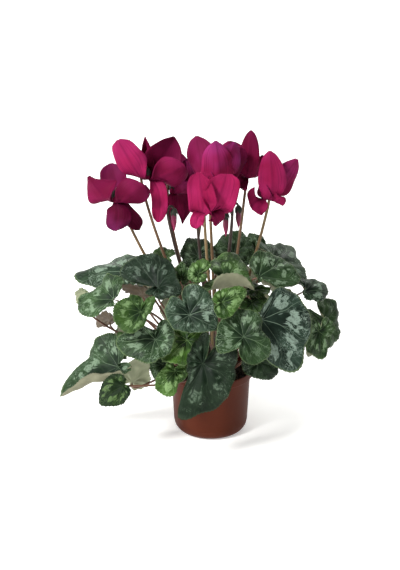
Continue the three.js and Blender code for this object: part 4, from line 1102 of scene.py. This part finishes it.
def new_material(name):
    material = bpy.data.materials.new(name)
    material.use_nodes = True
    material.node_tree.nodes.clear()
    return material, material.node_tree


def finish_material(tree, values):
    """The surface shader and the output."""
    add(tree, "OutputMaterial", {"Surface": add(tree, "BsdfPrincipled", values)}, out=None)


def leaf_coordinates(tree):
    """The turn round the stalk, the share of the way to the margin, and the flat leaf's place in
    millimetres."""
    polar = add(tree, "UVMap", uv_map="polar")
    turn, share = [add(tree, "SeparateXYZ", {0: polar}, out=axis) for axis in ("X", "Y")]
    return turn, share, add(tree, "UVMap", uv_map="flat")


def piece_looks(tree):
    """The three looks that a piece carries on its points, such as a leaf's age, silver and brown."""
    looks = add(tree, "Attribute", out="Vector", attribute_name="look")
    return [add(tree, "SeparateXYZ", {0: looks}, out=axis) for axis in ("X", "Y", "Z")]


def sector_draw(tree, sector, rounding, seed):
    """A draw for each main vein (ROUND) or for each space between two of them (FLOOR)."""
    number = add(tree, "Math", {0: sector}, operation=rounding)
    spread = add(tree, "Math", {0: seed, 1: 91.7}, operation="MULTIPLY")
    place = add(tree, "CombineXYZ", {0: number, 1: spread})
    return add(tree, "TexWhiteNoise", {"Vector": place})


def vein_lines(tree, turn, share, flat, seed):
    """Where the veins run, from 0 to 1: main veins from the stalk, each forked twice. With them come each
    point's place between two main veins, from 0 at the vein to 0.5 midway, the place on the object, and the
    running number of the main vein."""
    place = add(tree, "TexCoord", out="Object")
    waver = add(tree, "TexNoise", {"Vector": place, "Scale": 1 / (28 * MM), "Detail": 0.5})
    sector = add(tree, "Math", {0: turn, 1: 0.5}, operation="SUBTRACT")
    sector = add(tree, "Math", {0: sector, 1: float(VEINS)}, operation="MULTIPLY")
    shift = add(tree, "Math", {0: waver, 1: 0.5}, operation="SUBTRACT")
    sector = add(tree, "Math", {0: shift, 1: VEIN_WAVER, 2: sector}, operation="MULTIPLY_ADD")
    between = add(tree, "Math", {0: sector, 1: 0.5}, operation="PINGPONG")
    far = add(tree, "VectorMath", {0: flat}, out="Value", operation="LENGTH")
    arc = add(tree, "Math", {0: far, 1: 2 * math.pi / VEINS}, operation="MULTIPLY")
    lines = []
    for leaves_at, slope, wide in VEIN_SETS:
        branch = add(tree, "Math", {0: share, 1: leaves_at}, operation="SUBTRACT")
        branch = add(tree, "Math", {0: branch, 1: slope}, operation="MULTIPLY")
        apart = add(tree, "Math", {0: between, 1: branch}, operation="SUBTRACT")
        apart = add(tree, "Math", {0: apart}, operation="ABSOLUTE")
        distance = add(tree, "Math", {0: apart, 1: arc}, operation="MULTIPLY")
        line = add(tree, "MapRange", {0: distance, 1: 0.05, 2: wide, 3: 1.0, 4: 0.0})
        begun = add(tree, "MapRange", {0: share, 1: leaves_at, 2: leaves_at + 0.03})
        lines.append(add(tree, "Math", {0: line, 1: begun}, operation="MULTIPLY"))
    forks = add(tree, "Math", {0: lines[1], 1: lines[2]}, operation="MAXIMUM")
    forks = add(tree, "Math", {0: forks, 1: 0.6}, operation="MULTIPLY")
    veins = add(tree, "Math", {0: lines[0], 1: forks}, operation="MAXIMUM")
    # Some veins are plainer than others, and all fade towards the margin
    vein_draw = sector_draw(tree, sector, "ROUND", seed)
    strength = add(tree, "MapRange", {0: vein_draw, 3: 0.25, 4: 1.0})
    fade = add(tree, "MapRange", {0: share, 1: 0.3, 2: 1.0, 3: 1.0, 4: 0.45})
    for factor in (strength, fade):
        veins = add(tree, "Math", {0: veins, 1: factor}, operation="MULTIPLY")
    return veins, between, place, sector


def make_leaf_upper():
    """Living cyclamen leaf, waxy upper side: dark blue-green or fresh green, with ragged silver blotches in a
    band between the veins, thin pale veins and a fine pale margin. The wax gives a soft, wide gloss."""
    material, tree = new_material("leaf_waxy_upper")
    turn, share, flat = leaf_coordinates(tree)
    # The third look is how much painted shade darkens the leaf's upper side
    age, silver, dark = piece_looks(tree)
    veins, between, place, sector = vein_lines(tree, turn, share, flat, age)

    # Silver blotches: one between two veins here and there, frayed along the blade and softer inside
    fray_place = add(tree, "CombineXYZ", {
        axis: add(tree, "Math", {0: value, 1: factor}, operation="MULTIPLY")
        for axis, (value, factor) in enumerate(((turn, VEINS * 7.0), (share, 3.0), (age, 40.0)))
    })
    fray = add(tree, "TexNoise", {"Vector": fray_place, "Scale": 1.0, "Detail": 3.0, "Distortion": 0.6})
    cloud = add(tree, "TexNoise", {"Vector": place, "Scale": 1 / (9 * MM), "Detail": 1.0})
    cloud = add(tree, "MapRange", {0: cloud, 1: 0.32, 2: 0.56})
    frayed = add(tree, "Math", {0: fray, 1: 0.5, 2: share}, operation="MULTIPLY_ADD")
    space_draw = sector_draw(tree, sector, "FLOOR", age)
    frayed = add(tree, "Math", {0: space_draw, 1: 0.16, 2: frayed}, operation="MULTIPLY_ADD")
    held = add(tree, "MapRange", {0: frayed, 1: 0.72, 2: 0.86})
    outer = add(tree, "MapRange", {0: frayed, 1: 0.98, 2: 1.2, 3: 1.0, 4: 0.0})
    clear = add(tree, "MapRange", {0: between, 1: 0.05, 2: 0.22})
    kept = add(tree, "MapRange", {0: space_draw, 1: 0.05, 2: 0.25})
    for factor in (outer, clear, cloud, kept, silver):
        held = add(tree, "Math", {0: held, 1: factor}, operation="MULTIPLY")
    blotch = add(tree, "MapRange", {0: held, 1: 0.24, 2: 0.42})
    frost = add(tree, "TexNoise", {"Vector": place, "Scale": 1 / (2.4 * MM), "Detail": 2.0})
    frost = add(tree, "MapRange", {0: frost, 1: 0.38, 2: 0.5, 3: 0.55, 4: 1.0})
    blotch = add(tree, "Math", {0: blotch, 1: frost}, operation="MULTIPLY")

    # Thin frosty lines wind about, here and there, and short fine streaks stand along the margin
    winding = {"Vector": place, "Scale": 1 / (7 * MM), "Detail": 1.5, "Distortion": 1.8}
    line = add(tree, "Math", {0: add(tree, "TexNoise", winding), 1: 0.5}, operation="SUBTRACT")
    line = add(tree, "Math", {0: line}, operation="ABSOLUTE")
    line = add(tree, "MapRange", {0: line, 1: 0.006, 2: 0.03, 3: 1.0, 4: 0.0})
    patchy = add(tree, "TexNoise", {"Vector": place, "Scale": 1 / (15 * MM), "Detail": 1.0})
    patchy = add(tree, "MapRange", {0: patchy, 1: 0.46, 2: 0.56})
    zone = add(tree, "MapRange", {0: share, 1: 0.4, 2: 0.6})
    for factor in (patchy, zone):
        line = add(tree, "Math", {0: line, 1: factor}, operation="MULTIPLY")
    streaks = add(tree, "TexNoise", {"Vector": fray_place, "Scale": 2.6, "Detail": 1.0})
    streaks = add(tree, "MapRange", {0: streaks, 1: 0.52, 2: 0.7, 4: 0.25})
    rim = add(tree, "MapRange", {0: share, 1: 0.72, 2: 0.9})
    streaks = add(tree, "Math", {0: streaks, 1: rim}, operation="MULTIPLY")
    marks = blotch
    for other in (line, streaks):
        marks = add(tree, "Math", {0: marks, 1: other}, operation="MAXIMUM")
    frosting = add(tree, "MapRange", {0: silver, 1: 0.2, 2: 1.25, 3: 0.55, 4: 1.0})
    marks = add(tree, "Math", {0: marks, 1: frosting}, operation="MULTIPLY")

    # Ground, marks and ribs by age, from young to old, and slow changes of the ground across the blade
    drift = add(tree, "TexNoise", {"Vector": place, "Scale": 1 / (26 * MM), "Detail": 1.0})
    mottle = add(tree, "TexNoise", {"Vector": place, "Scale": 1 / (5 * MM), "Detail": 3.0})
    drift = add(tree, "Math", {0: mottle, 1: 0.8, 2: drift}, operation="MULTIPLY_ADD")
    drift = add(tree, "MapRange", {0: drift, 1: 0.7, 2: 1.1})
    deep, fresh, pale, ribs = [
        add(tree, "Mix", {0: age, 6: linear(young), 7: linear(old)}, out=2, data_type="RGBA")
        for young, old in (
            ("#253F16", "#131F18"), ("#476A24", "#324438"), ("#7E9E60", "#8FA394"), ("#7FA35C", "#90A690"),
        )
    ]
    # The layers: fresh ground, the dark centre, marks, ribs, the fine margin, and painted shade on leaves
    # that lie in shadow
    centre = add(tree, "MapRange", {0: share, 1: 0.2, 2: 0.55, 3: 0.6, 4: 0.0})
    rib_share = add(tree, "Math", {0: veins, 1: 0.9}, operation="MULTIPLY")
    edge = add(tree, "MapRange", {0: share, 1: 0.965, 2: 0.98, 4: 0.5})
    # Painted shade: a leaf in shadow is darkened towards near-black green, less where it has silver marks
    shadow = add(tree, "MapRange", {0: marks, 3: 0.75, 4: 0.45})
    shadow = add(tree, "Math", {0: shadow, 1: dark}, operation="MULTIPLY")
    colour = deep
    for amount, over in (
        (drift, fresh), (centre, linear("#15241C")), (marks, pale), (rib_share, ribs),
        (edge, linear("#748A5A")), (shadow, linear("#08170A")),
    ):
        colour = add(tree, "Mix", {0: amount, 6: colour, 7: over}, out=2, data_type="RGBA")

    grain = add(tree, "TexNoise", {"Vector": place, "Scale": 1 / (1.1 * MM), "Detail": 2.0})
    height = add(tree, "Math", {0: veins, 1: -0.8, 2: grain}, operation="MULTIPLY_ADD")
    height = add(tree, "Math", {0: mottle, 1: 3.0, 2: height}, operation="MULTIPLY_ADD")
    bump = add(tree, "Bump", {"Height": height, "Strength": 0.5, "Distance": 0.6 * MM})
    gloss = add(tree, "MapRange", {0: drift, 3: 0.4, 4: 0.55})
    finish_material(tree, {
        "Base Color": colour, "Roughness": gloss, "Normal": bump, "IOR": 1.45, "Specular IOR Level": 0.16,
    })
    return material


def make_leaf_under():
    """Living cyclamen leaf, matt underside: olive-beige, or brownish purple on some, with raised veins."""
    material, tree = new_material("leaf_matt_underside")
    turn, share, flat = leaf_coordinates(tree)
    age, _, brown = piece_looks(tree)
    veins, _, place, _ = vein_lines(tree, turn, share, flat, age)
    cloud = add(tree, "TexNoise", {"Vector": place, "Scale": 1 / (9 * MM), "Detail": 2.0})
    olive = add(tree, "Mix", {0: cloud, 6: linear("#737A5C"), 7: linear("#9AA284")}, out=2, data_type="RGBA")
    purple = add(tree, "Mix", {0: cloud, 6: linear("#40302A"), 7: linear("#645040")}, out=2, data_type="RGBA")
    colour = add(tree, "Mix", {0: brown, 6: olive, 7: purple}, out=2, data_type="RGBA")
    rib_share = add(tree, "Math", {0: veins, 1: 0.4}, operation="MULTIPLY")
    colour = add(tree, "Mix", {0: rib_share, 6: colour, 7: linear("#8A836A")}, out=2, data_type="RGBA")
    height = add(tree, "Math", {0: veins, 1: 1.2, 2: cloud}, operation="MULTIPLY_ADD")
    bump = add(tree, "Bump", {"Height": height, "Strength": 0.5, "Distance": 0.6 * MM})
    finish_material(tree, {"Base Color": colour, "Roughness": 0.7, "Normal": bump, "IOR": 1.45})
    return material


def make_stalk(name, low, high, tinge):
    """Fleshy plant stalk, smooth and slightly downy: red-brown at the tuber, greener or tan above."""
    material, tree = new_material(name)
    polar = add(tree, "UVMap", uv_map="polar")
    up = add(tree, "SeparateXYZ", {0: polar}, out="Y")
    place = add(tree, "TexCoord", out="Object")
    streak = add(tree, "TexNoise", {"Vector": place, "Scale": 1 / (3 * MM), "Detail": 2.0})
    shade = piece_looks(tree)[0]
    climb = add(tree, "MapRange", {0: up, 1: 0.1, 2: 0.95})
    colour = add(tree, "Mix", {0: climb, 6: linear(low), 7: linear(high)}, out=2, data_type="RGBA")
    amount = add(tree, "Math", {0: shade, 1: 0.8}, operation="MULTIPLY")
    colour = add(tree, "Mix", {0: amount, 6: colour, 7: linear(tinge)}, out=2, data_type="RGBA")
    dark = add(tree, "Math", {0: streak, 1: 0.5}, operation="MULTIPLY")
    colour = add(tree, "Mix", {0: dark, 6: colour, 7: linear(low)}, out=2, data_type="RGBA")
    bump = add(tree, "Bump", {"Height": streak, "Strength": 0.2, "Distance": 0.3 * MM})
    finish_material(tree, {
        "Base Color": colour, "Roughness": 0.5, "Normal": bump, "IOR": 1.4, "Sheen Weight": 0.1,
    })
    return material


def make_petal(name, dark_mouth):
    """Living petal, velvety from tiny domed cells: magenta, with painted light that makes shaded petals deep
    and lit ones bright, darker at the throat, painted shade in the fold, violet towards the tip on some
    petals, partly their own tinge and partly a painted highlight, with hair-fine veins along it."""
    material, tree = new_material(name)
    polar = add(tree, "UVMap", uv_map="polar")
    across = add(tree, "SeparateXYZ", {0: polar}, out="X")
    along = add(tree, "SeparateXYZ", {0: polar}, out="Y")
    shade, draw, violet = piece_looks(tree)
    place = add(tree, "TexCoord", out="Object")
    cloud = add(tree, "TexNoise", {"Vector": place, "Scale": 1 / (24 * MM), "Detail": 1.0})
    cloud = add(tree, "MapRange", {0: cloud, 1: 0.25, 2: 0.75})
    # Painted light: a deep, shaded copy and a lit copy of the magenta, mixed by how lit each petal is
    deep = add(tree, "Mix", {0: cloud, 6: linear("#38041A"), 7: linear("#5A082A")}, out=2, data_type="RGBA")
    lit = add(tree, "Mix", {0: cloud, 6: linear("#8A143F"), 7: linear("#9E2256")}, out=2, data_type="RGBA")
    colour = add(tree, "Mix", {0: shade, 6: deep, 7: lit}, out=2, data_type="RGBA")
    # The violet towards the tip is partly the petals' own tinge and partly a painted highlight
    bright = add(tree, "Math", {0: along, 1: 1.5, 2: cloud}, operation="MULTIPLY_ADD")
    bright = add(tree, "MapRange", {0: bright, 1: 1.0, 2: 2.3, 4: 0.8})
    violet_and_highlight = add(tree, "Math", {0: violet, 1: bright}, operation="MULTIPLY")
    # Hair-fine veins run from the throat to the tip
    fan = add(tree, "Math", {0: across, 1: 26.0}, operation="MULTIPLY")
    comb = add(tree, "CombineXYZ", {0: fan, 1: along, 2: draw})
    veins = add(tree, "TexNoise", {"Vector": comb, "Scale": 1.0, "Detail": 2.0})
    vein_share = add(tree, "MapRange", {0: veins, 1: 0.52, 2: 0.72, 3: 0.0, 4: 0.45})
    # Painted shade darkens the fold that runs down the middle
    middle = add(tree, "Math", {0: across, 1: 0.5}, operation="SUBTRACT")
    middle = add(tree, "Math", {0: middle}, operation="ABSOLUTE")
    fold = add(tree, "MapRange", {0: middle, 1: 0.0, 2: 0.06, 3: 0.45, 4: 0.0})
    throat = add(tree, "MapRange", {0: along, 1: 0.0, 2: 0.3, 3: dark_mouth, 4: 0.0})
    layers = ((violet_and_highlight, "#8E3A80"), (vein_share, "#5A0B30"), (fold, "#5A0B30"), (throat, "#33071C"))
    for amount, over in layers:
        colour = add(tree, "Mix", {0: amount, 6: colour, 7: linear(over)}, out=2, data_type="RGBA")
    bump = add(tree, "Bump", {"Height": veins, "Strength": 0.5, "Distance": 0.6 * MM})
    finish_material(tree, {
        "Base Color": colour, "Roughness": 0.6, "Normal": bump, "IOR": 1.4, "Specular IOR Level": 0.06,
        "Sheen Weight": 0.05, "Sheen Roughness": 0.35, "Sheen Tint": linear("#B040C0"),
    })
    return material


def make_plain_growth(name, first, second, rough):
    """Small fleshy growth, such as a calyx or a bud: two close colours in soft clouds."""
    material, tree = new_material(name)
    place = add(tree, "TexCoord", out="Object")
    cloud = add(tree, "TexNoise", {"Vector": place, "Scale": 1 / (3 * MM), "Detail": 2.0})
    colour = add(tree, "Mix", {0: cloud, 6: linear(first), 7: linear(second)}, out=2, data_type="RGBA")
    bump = add(tree, "Bump", {"Height": cloud, "Strength": 0.3, "Distance": 0.4 * MM})
    finish_material(tree, {"Base Color": colour, "Roughness": rough, "Normal": bump, "IOR": 1.4})
    return material


def make_bud():
    """Closed bud: dark maroon under the calyx, magenta towards its point, and the wound petals' edges."""
    material, tree = new_material("bud_wound_petals")
    polar = add(tree, "UVMap", uv_map="polar")
    around = add(tree, "SeparateXYZ", {0: polar}, out="X")
    along = add(tree, "SeparateXYZ", {0: polar}, out="Y")
    wound = add(tree, "Math", {0: along, 1: 1.2, 2: around}, operation="MULTIPLY_ADD")
    wound = add(tree, "Math", {0: wound, 1: 5.0}, operation="MULTIPLY")
    wound = add(tree, "Math", {0: wound, 1: 0.5}, operation="PINGPONG")
    edge = add(tree, "MapRange", {0: wound, 1: 0.0, 2: 0.15, 3: 0.6, 4: 0.0})
    colour = add(tree, "Mix", {0: along, 6: linear("#9A1450"), 7: linear("#480C26")}, out=2, data_type="RGBA")
    colour = add(tree, "Mix", {0: edge, 6: colour, 7: linear("#4A0C2A")}, out=2, data_type="RGBA")
    finish_material(tree, {"Base Color": colour, "Roughness": 0.5, "IOR": 1.4, "Sheen Weight": 0.15})
    return material


def make_pot_plastic():
    """Polypropylene, injection moulded and lightly scuffed: terracotta colour, satin, with a fine mould
    grain."""
    material, tree = new_material("pot_moulded_polypropylene")
    place = add(tree, "TexCoord", out="Object")
    cloud = add(tree, "TexNoise", {"Vector": place, "Scale": 1 / (30 * MM), "Detail": 3.0})
    speck = add(tree, "TexNoise", {"Vector": place, "Scale": 1 / (1.4 * MM), "Detail": 2.0})
    colour = add(tree, "Mix", {0: cloud, 6: linear("#461B0E"), 7: linear("#552513")}, out=2, data_type="RGBA")
    spots = add(tree, "MapRange", {0: speck, 1: 0.55, 2: 0.75, 3: 0.0, 4: 0.25})
    colour = add(tree, "Mix", {0: spots, 6: colour, 7: linear("#40200F")}, out=2, data_type="RGBA")
    gloss = add(tree, "MapRange", {0: cloud, 3: 0.42, 4: 0.56})
    bump = add(tree, "Bump", {"Height": speck, "Strength": 0.15, "Distance": 0.2 * MM})
    finish_material(tree, {
        "Base Color": colour, "Roughness": gloss, "Normal": bump, "IOR": 1.49, "Specular IOR Level": 0.1,
    })
    return material


def make_peat():
    """Moist peat: nearly black brown crumbs with paler fibres, dull."""
    material, tree = new_material("soil_moist_peat")
    place = add(tree, "TexCoord", out="Object")
    crumbs = add(tree, "TexNoise", {"Vector": place, "Scale": 1 / (1.6 * MM), "Detail": 4.0})
    fibre = add(tree, "MapRange", {0: crumbs, 1: 0.6, 2: 0.75})
    peat = {0: crumbs, 6: linear("#17100C"), 7: linear("#33261C")}
    colour = add(tree, "Mix", peat, out=2, data_type="RGBA")
    colour = add(tree, "Mix", {0: fibre, 6: colour, 7: linear("#5A4632")}, out=2, data_type="RGBA")
    bump = add(tree, "Bump", {"Height": crumbs, "Strength": 0.8, "Distance": 0.8 * MM})
    finish_material(tree, {"Base Color": colour, "Roughness": 0.9, "Normal": bump, "IOR": 1.4})
    return material


def make_cork():
    """Cork skin of an old tuber: brown, cracked in rings, dull."""
    material, tree = new_material("tuber_cork_skin")
    place = add(tree, "TexCoord", out="Object")
    crack = add(tree, "TexVoronoi", {"Vector": place, "Scale": 1 / (4 * MM)}, feature="DISTANCE_TO_EDGE")
    cloud = add(tree, "TexNoise", {"Vector": place, "Scale": 1 / (5 * MM), "Detail": 4.0})
    colour = add(tree, "Mix", {0: cloud, 6: linear("#4A3324"), 7: linear("#7A5C42")}, out=2, data_type="RGBA")
    dark = add(tree, "MapRange", {0: crack, 1: 0.0, 2: 0.12, 3: 0.7, 4: 0.0})
    colour = add(tree, "Mix", {0: dark, 6: colour, 7: linear("#2A1C14")}, out=2, data_type="RGBA")
    bump = add(tree, "Bump", {"Height": crack, "Strength": 0.6, "Distance": 0.6 * MM})
    finish_material(tree, {"Base Color": colour, "Roughness": 0.85, "Normal": bump, "IOR": 1.4})
    return material


def make_backdrop():
    """Matt white studio paper, lit a little from behind."""
    material, tree = new_material("backdrop_matt_paper")
    finish_material(tree, {
        "Base Color": linear("#FAFAF8"), "Roughness": 0.9,
        "Emission Color": linear("#FFFFFF"), "Emission Strength": 0.4,
    })
    return material


leaf_upper = make_leaf_upper()
leaf_under = make_leaf_under()
petiole_material = make_stalk("petiole_fleshy_stalk", "#4E2A22", "#7A5A44", "#6A4A3A")
scape_material = make_stalk("scape_fleshy_stalk", "#4A2820", "#6B4A34", "#8E7A4E")
hook_material = make_stalk("bud_fleshy_stalk", "#2E1C18", "#40302A", "#4A3A2A")
petal_material = make_petal("petal_velvet", 0.55)
tube_material = make_petal("petal_tube", 0.9)
calyx_material = make_plain_growth("calyx_dark_lobes", "#1A1F17", "#2E352A", 0.6)
bud_material = make_bud()
pot_material = make_pot_plastic()
soil_material = make_peat()
tuber_material = make_cork()


# The plant

leaves = LEAVES + back_leaves()
leaf_nodes = list(dict.fromkeys(leaf[0] for leaf in leaves))
leaf_aims = [next(leaf[1] for leaf in leaves if leaf[0] == node) for node in leaf_nodes]
aims = leaf_aims + [row[1] for row in BLOOMS] + [row[1] for row in BUDS]
roots = [root_at(place) for place in crown_places(aims)]

pot()
soil()
tuber()
for node, root in zip(leaf_nodes, roots):
    grown = Piece()
    look = np.array(LEAF_LOOKS.get(node, BACK_LOOK))
    for leaf in (row for row in leaves if row[0] == node):
        leaf_blade(grown, leaf, look)
        leaf_stalk(grown, leaf, root, look)
    grown.make(f"{node}_blade", node, [leaf_upper, leaf_under, petiole_material])
for index, row in enumerate(BLOOMS):
    bloom(row, index)
    flower_stalk(row, index, roots[len(leaf_nodes) + index])
for index, row in enumerate(BUDS):
    bud(row, roots[len(leaf_nodes) + len(BLOOMS) + index])


# Floor, light and camera

def sweep():
    """A floor that curves up into a backdrop, just under the pot."""
    depth, width, bend, height = 3.0, 6.0, 1.2, 5.0
    profile = [(-4.0, 0.0)]
    for degrees in np.linspace(0, 90, 13):
        turn = math.radians(degrees)
        profile.append((depth - bend + bend * math.sin(turn), bend - bend * math.cos(turn)))
    profile.append((depth, height))
    points = [(x, y, z - FLOOR_GAP * MM) for y, z in profile for x in (-width, width)]
    faces = [(a, a + 1, a + 3, a + 2) for a in range(0, len(points) - 2, 2)]
    mesh = bpy.data.meshes.new("floor_sweep")
    mesh.from_pydata(points, [], faces)
    mesh.polygons.foreach_set("use_smooth", [True] * len(faces))
    mesh.materials.append(make_backdrop())
    in_scene("floor_sweep", mesh)


def facing(thing, place, target):
    """Puts a light or the camera at a place and turns it to its target."""
    thing.location = place
    thing.rotation_euler = (Vector(target) - Vector(place)).to_track_quat("-Z", "Y").to_euler()


def area_light(name, place, target, size, power):
    light = bpy.data.lights.new(name, "AREA")
    light.shape = "DISK"
    light.size = size
    light.energy = power
    facing(in_scene(name, light), place, target)


sweep()
middle = (0, 0, 0.2)
base = (0, 0, 0.05)
area_light("key_left", (-1.3, -1.3, 1.7), middle, 0.6, 66)
area_light("fill_right", (1.8, -1.4, 0.9), middle, 1.6, 0.6)
area_light("low_left", (-1.7, -0.9, 0.35), base, 0.6, 5)
area_light("rim_back", (0.4, 1.6, 1.6), middle, 1.2, 12)
area_light("wall", (0, 1.0, 3.2), (0, 3.0, 1.2), 2.4, 45)

world = bpy.data.worlds.new("studio")
world.use_nodes = True
background = world.node_tree.nodes["Background"]
background.inputs["Color"].default_value = linear("#FFFFFF")
background.inputs["Strength"].default_value = 0.23
bpy.context.scene.world = world
bpy.context.scene.view_settings.view_transform = "Standard"

camera = bpy.data.cameras.new("camera")
camera.sensor_fit = "VERTICAL"
camera.sensor_height = SENSOR_HEIGHT
camera.lens = CAMERA_LENS
viewer = in_scene("camera", camera)
facing(viewer, Vector(CAMERA_PLACE) * MM, Vector(CAMERA_TARGET) * MM)
bpy.context.scene.camera = viewer

bpy.context.view_layer.update()
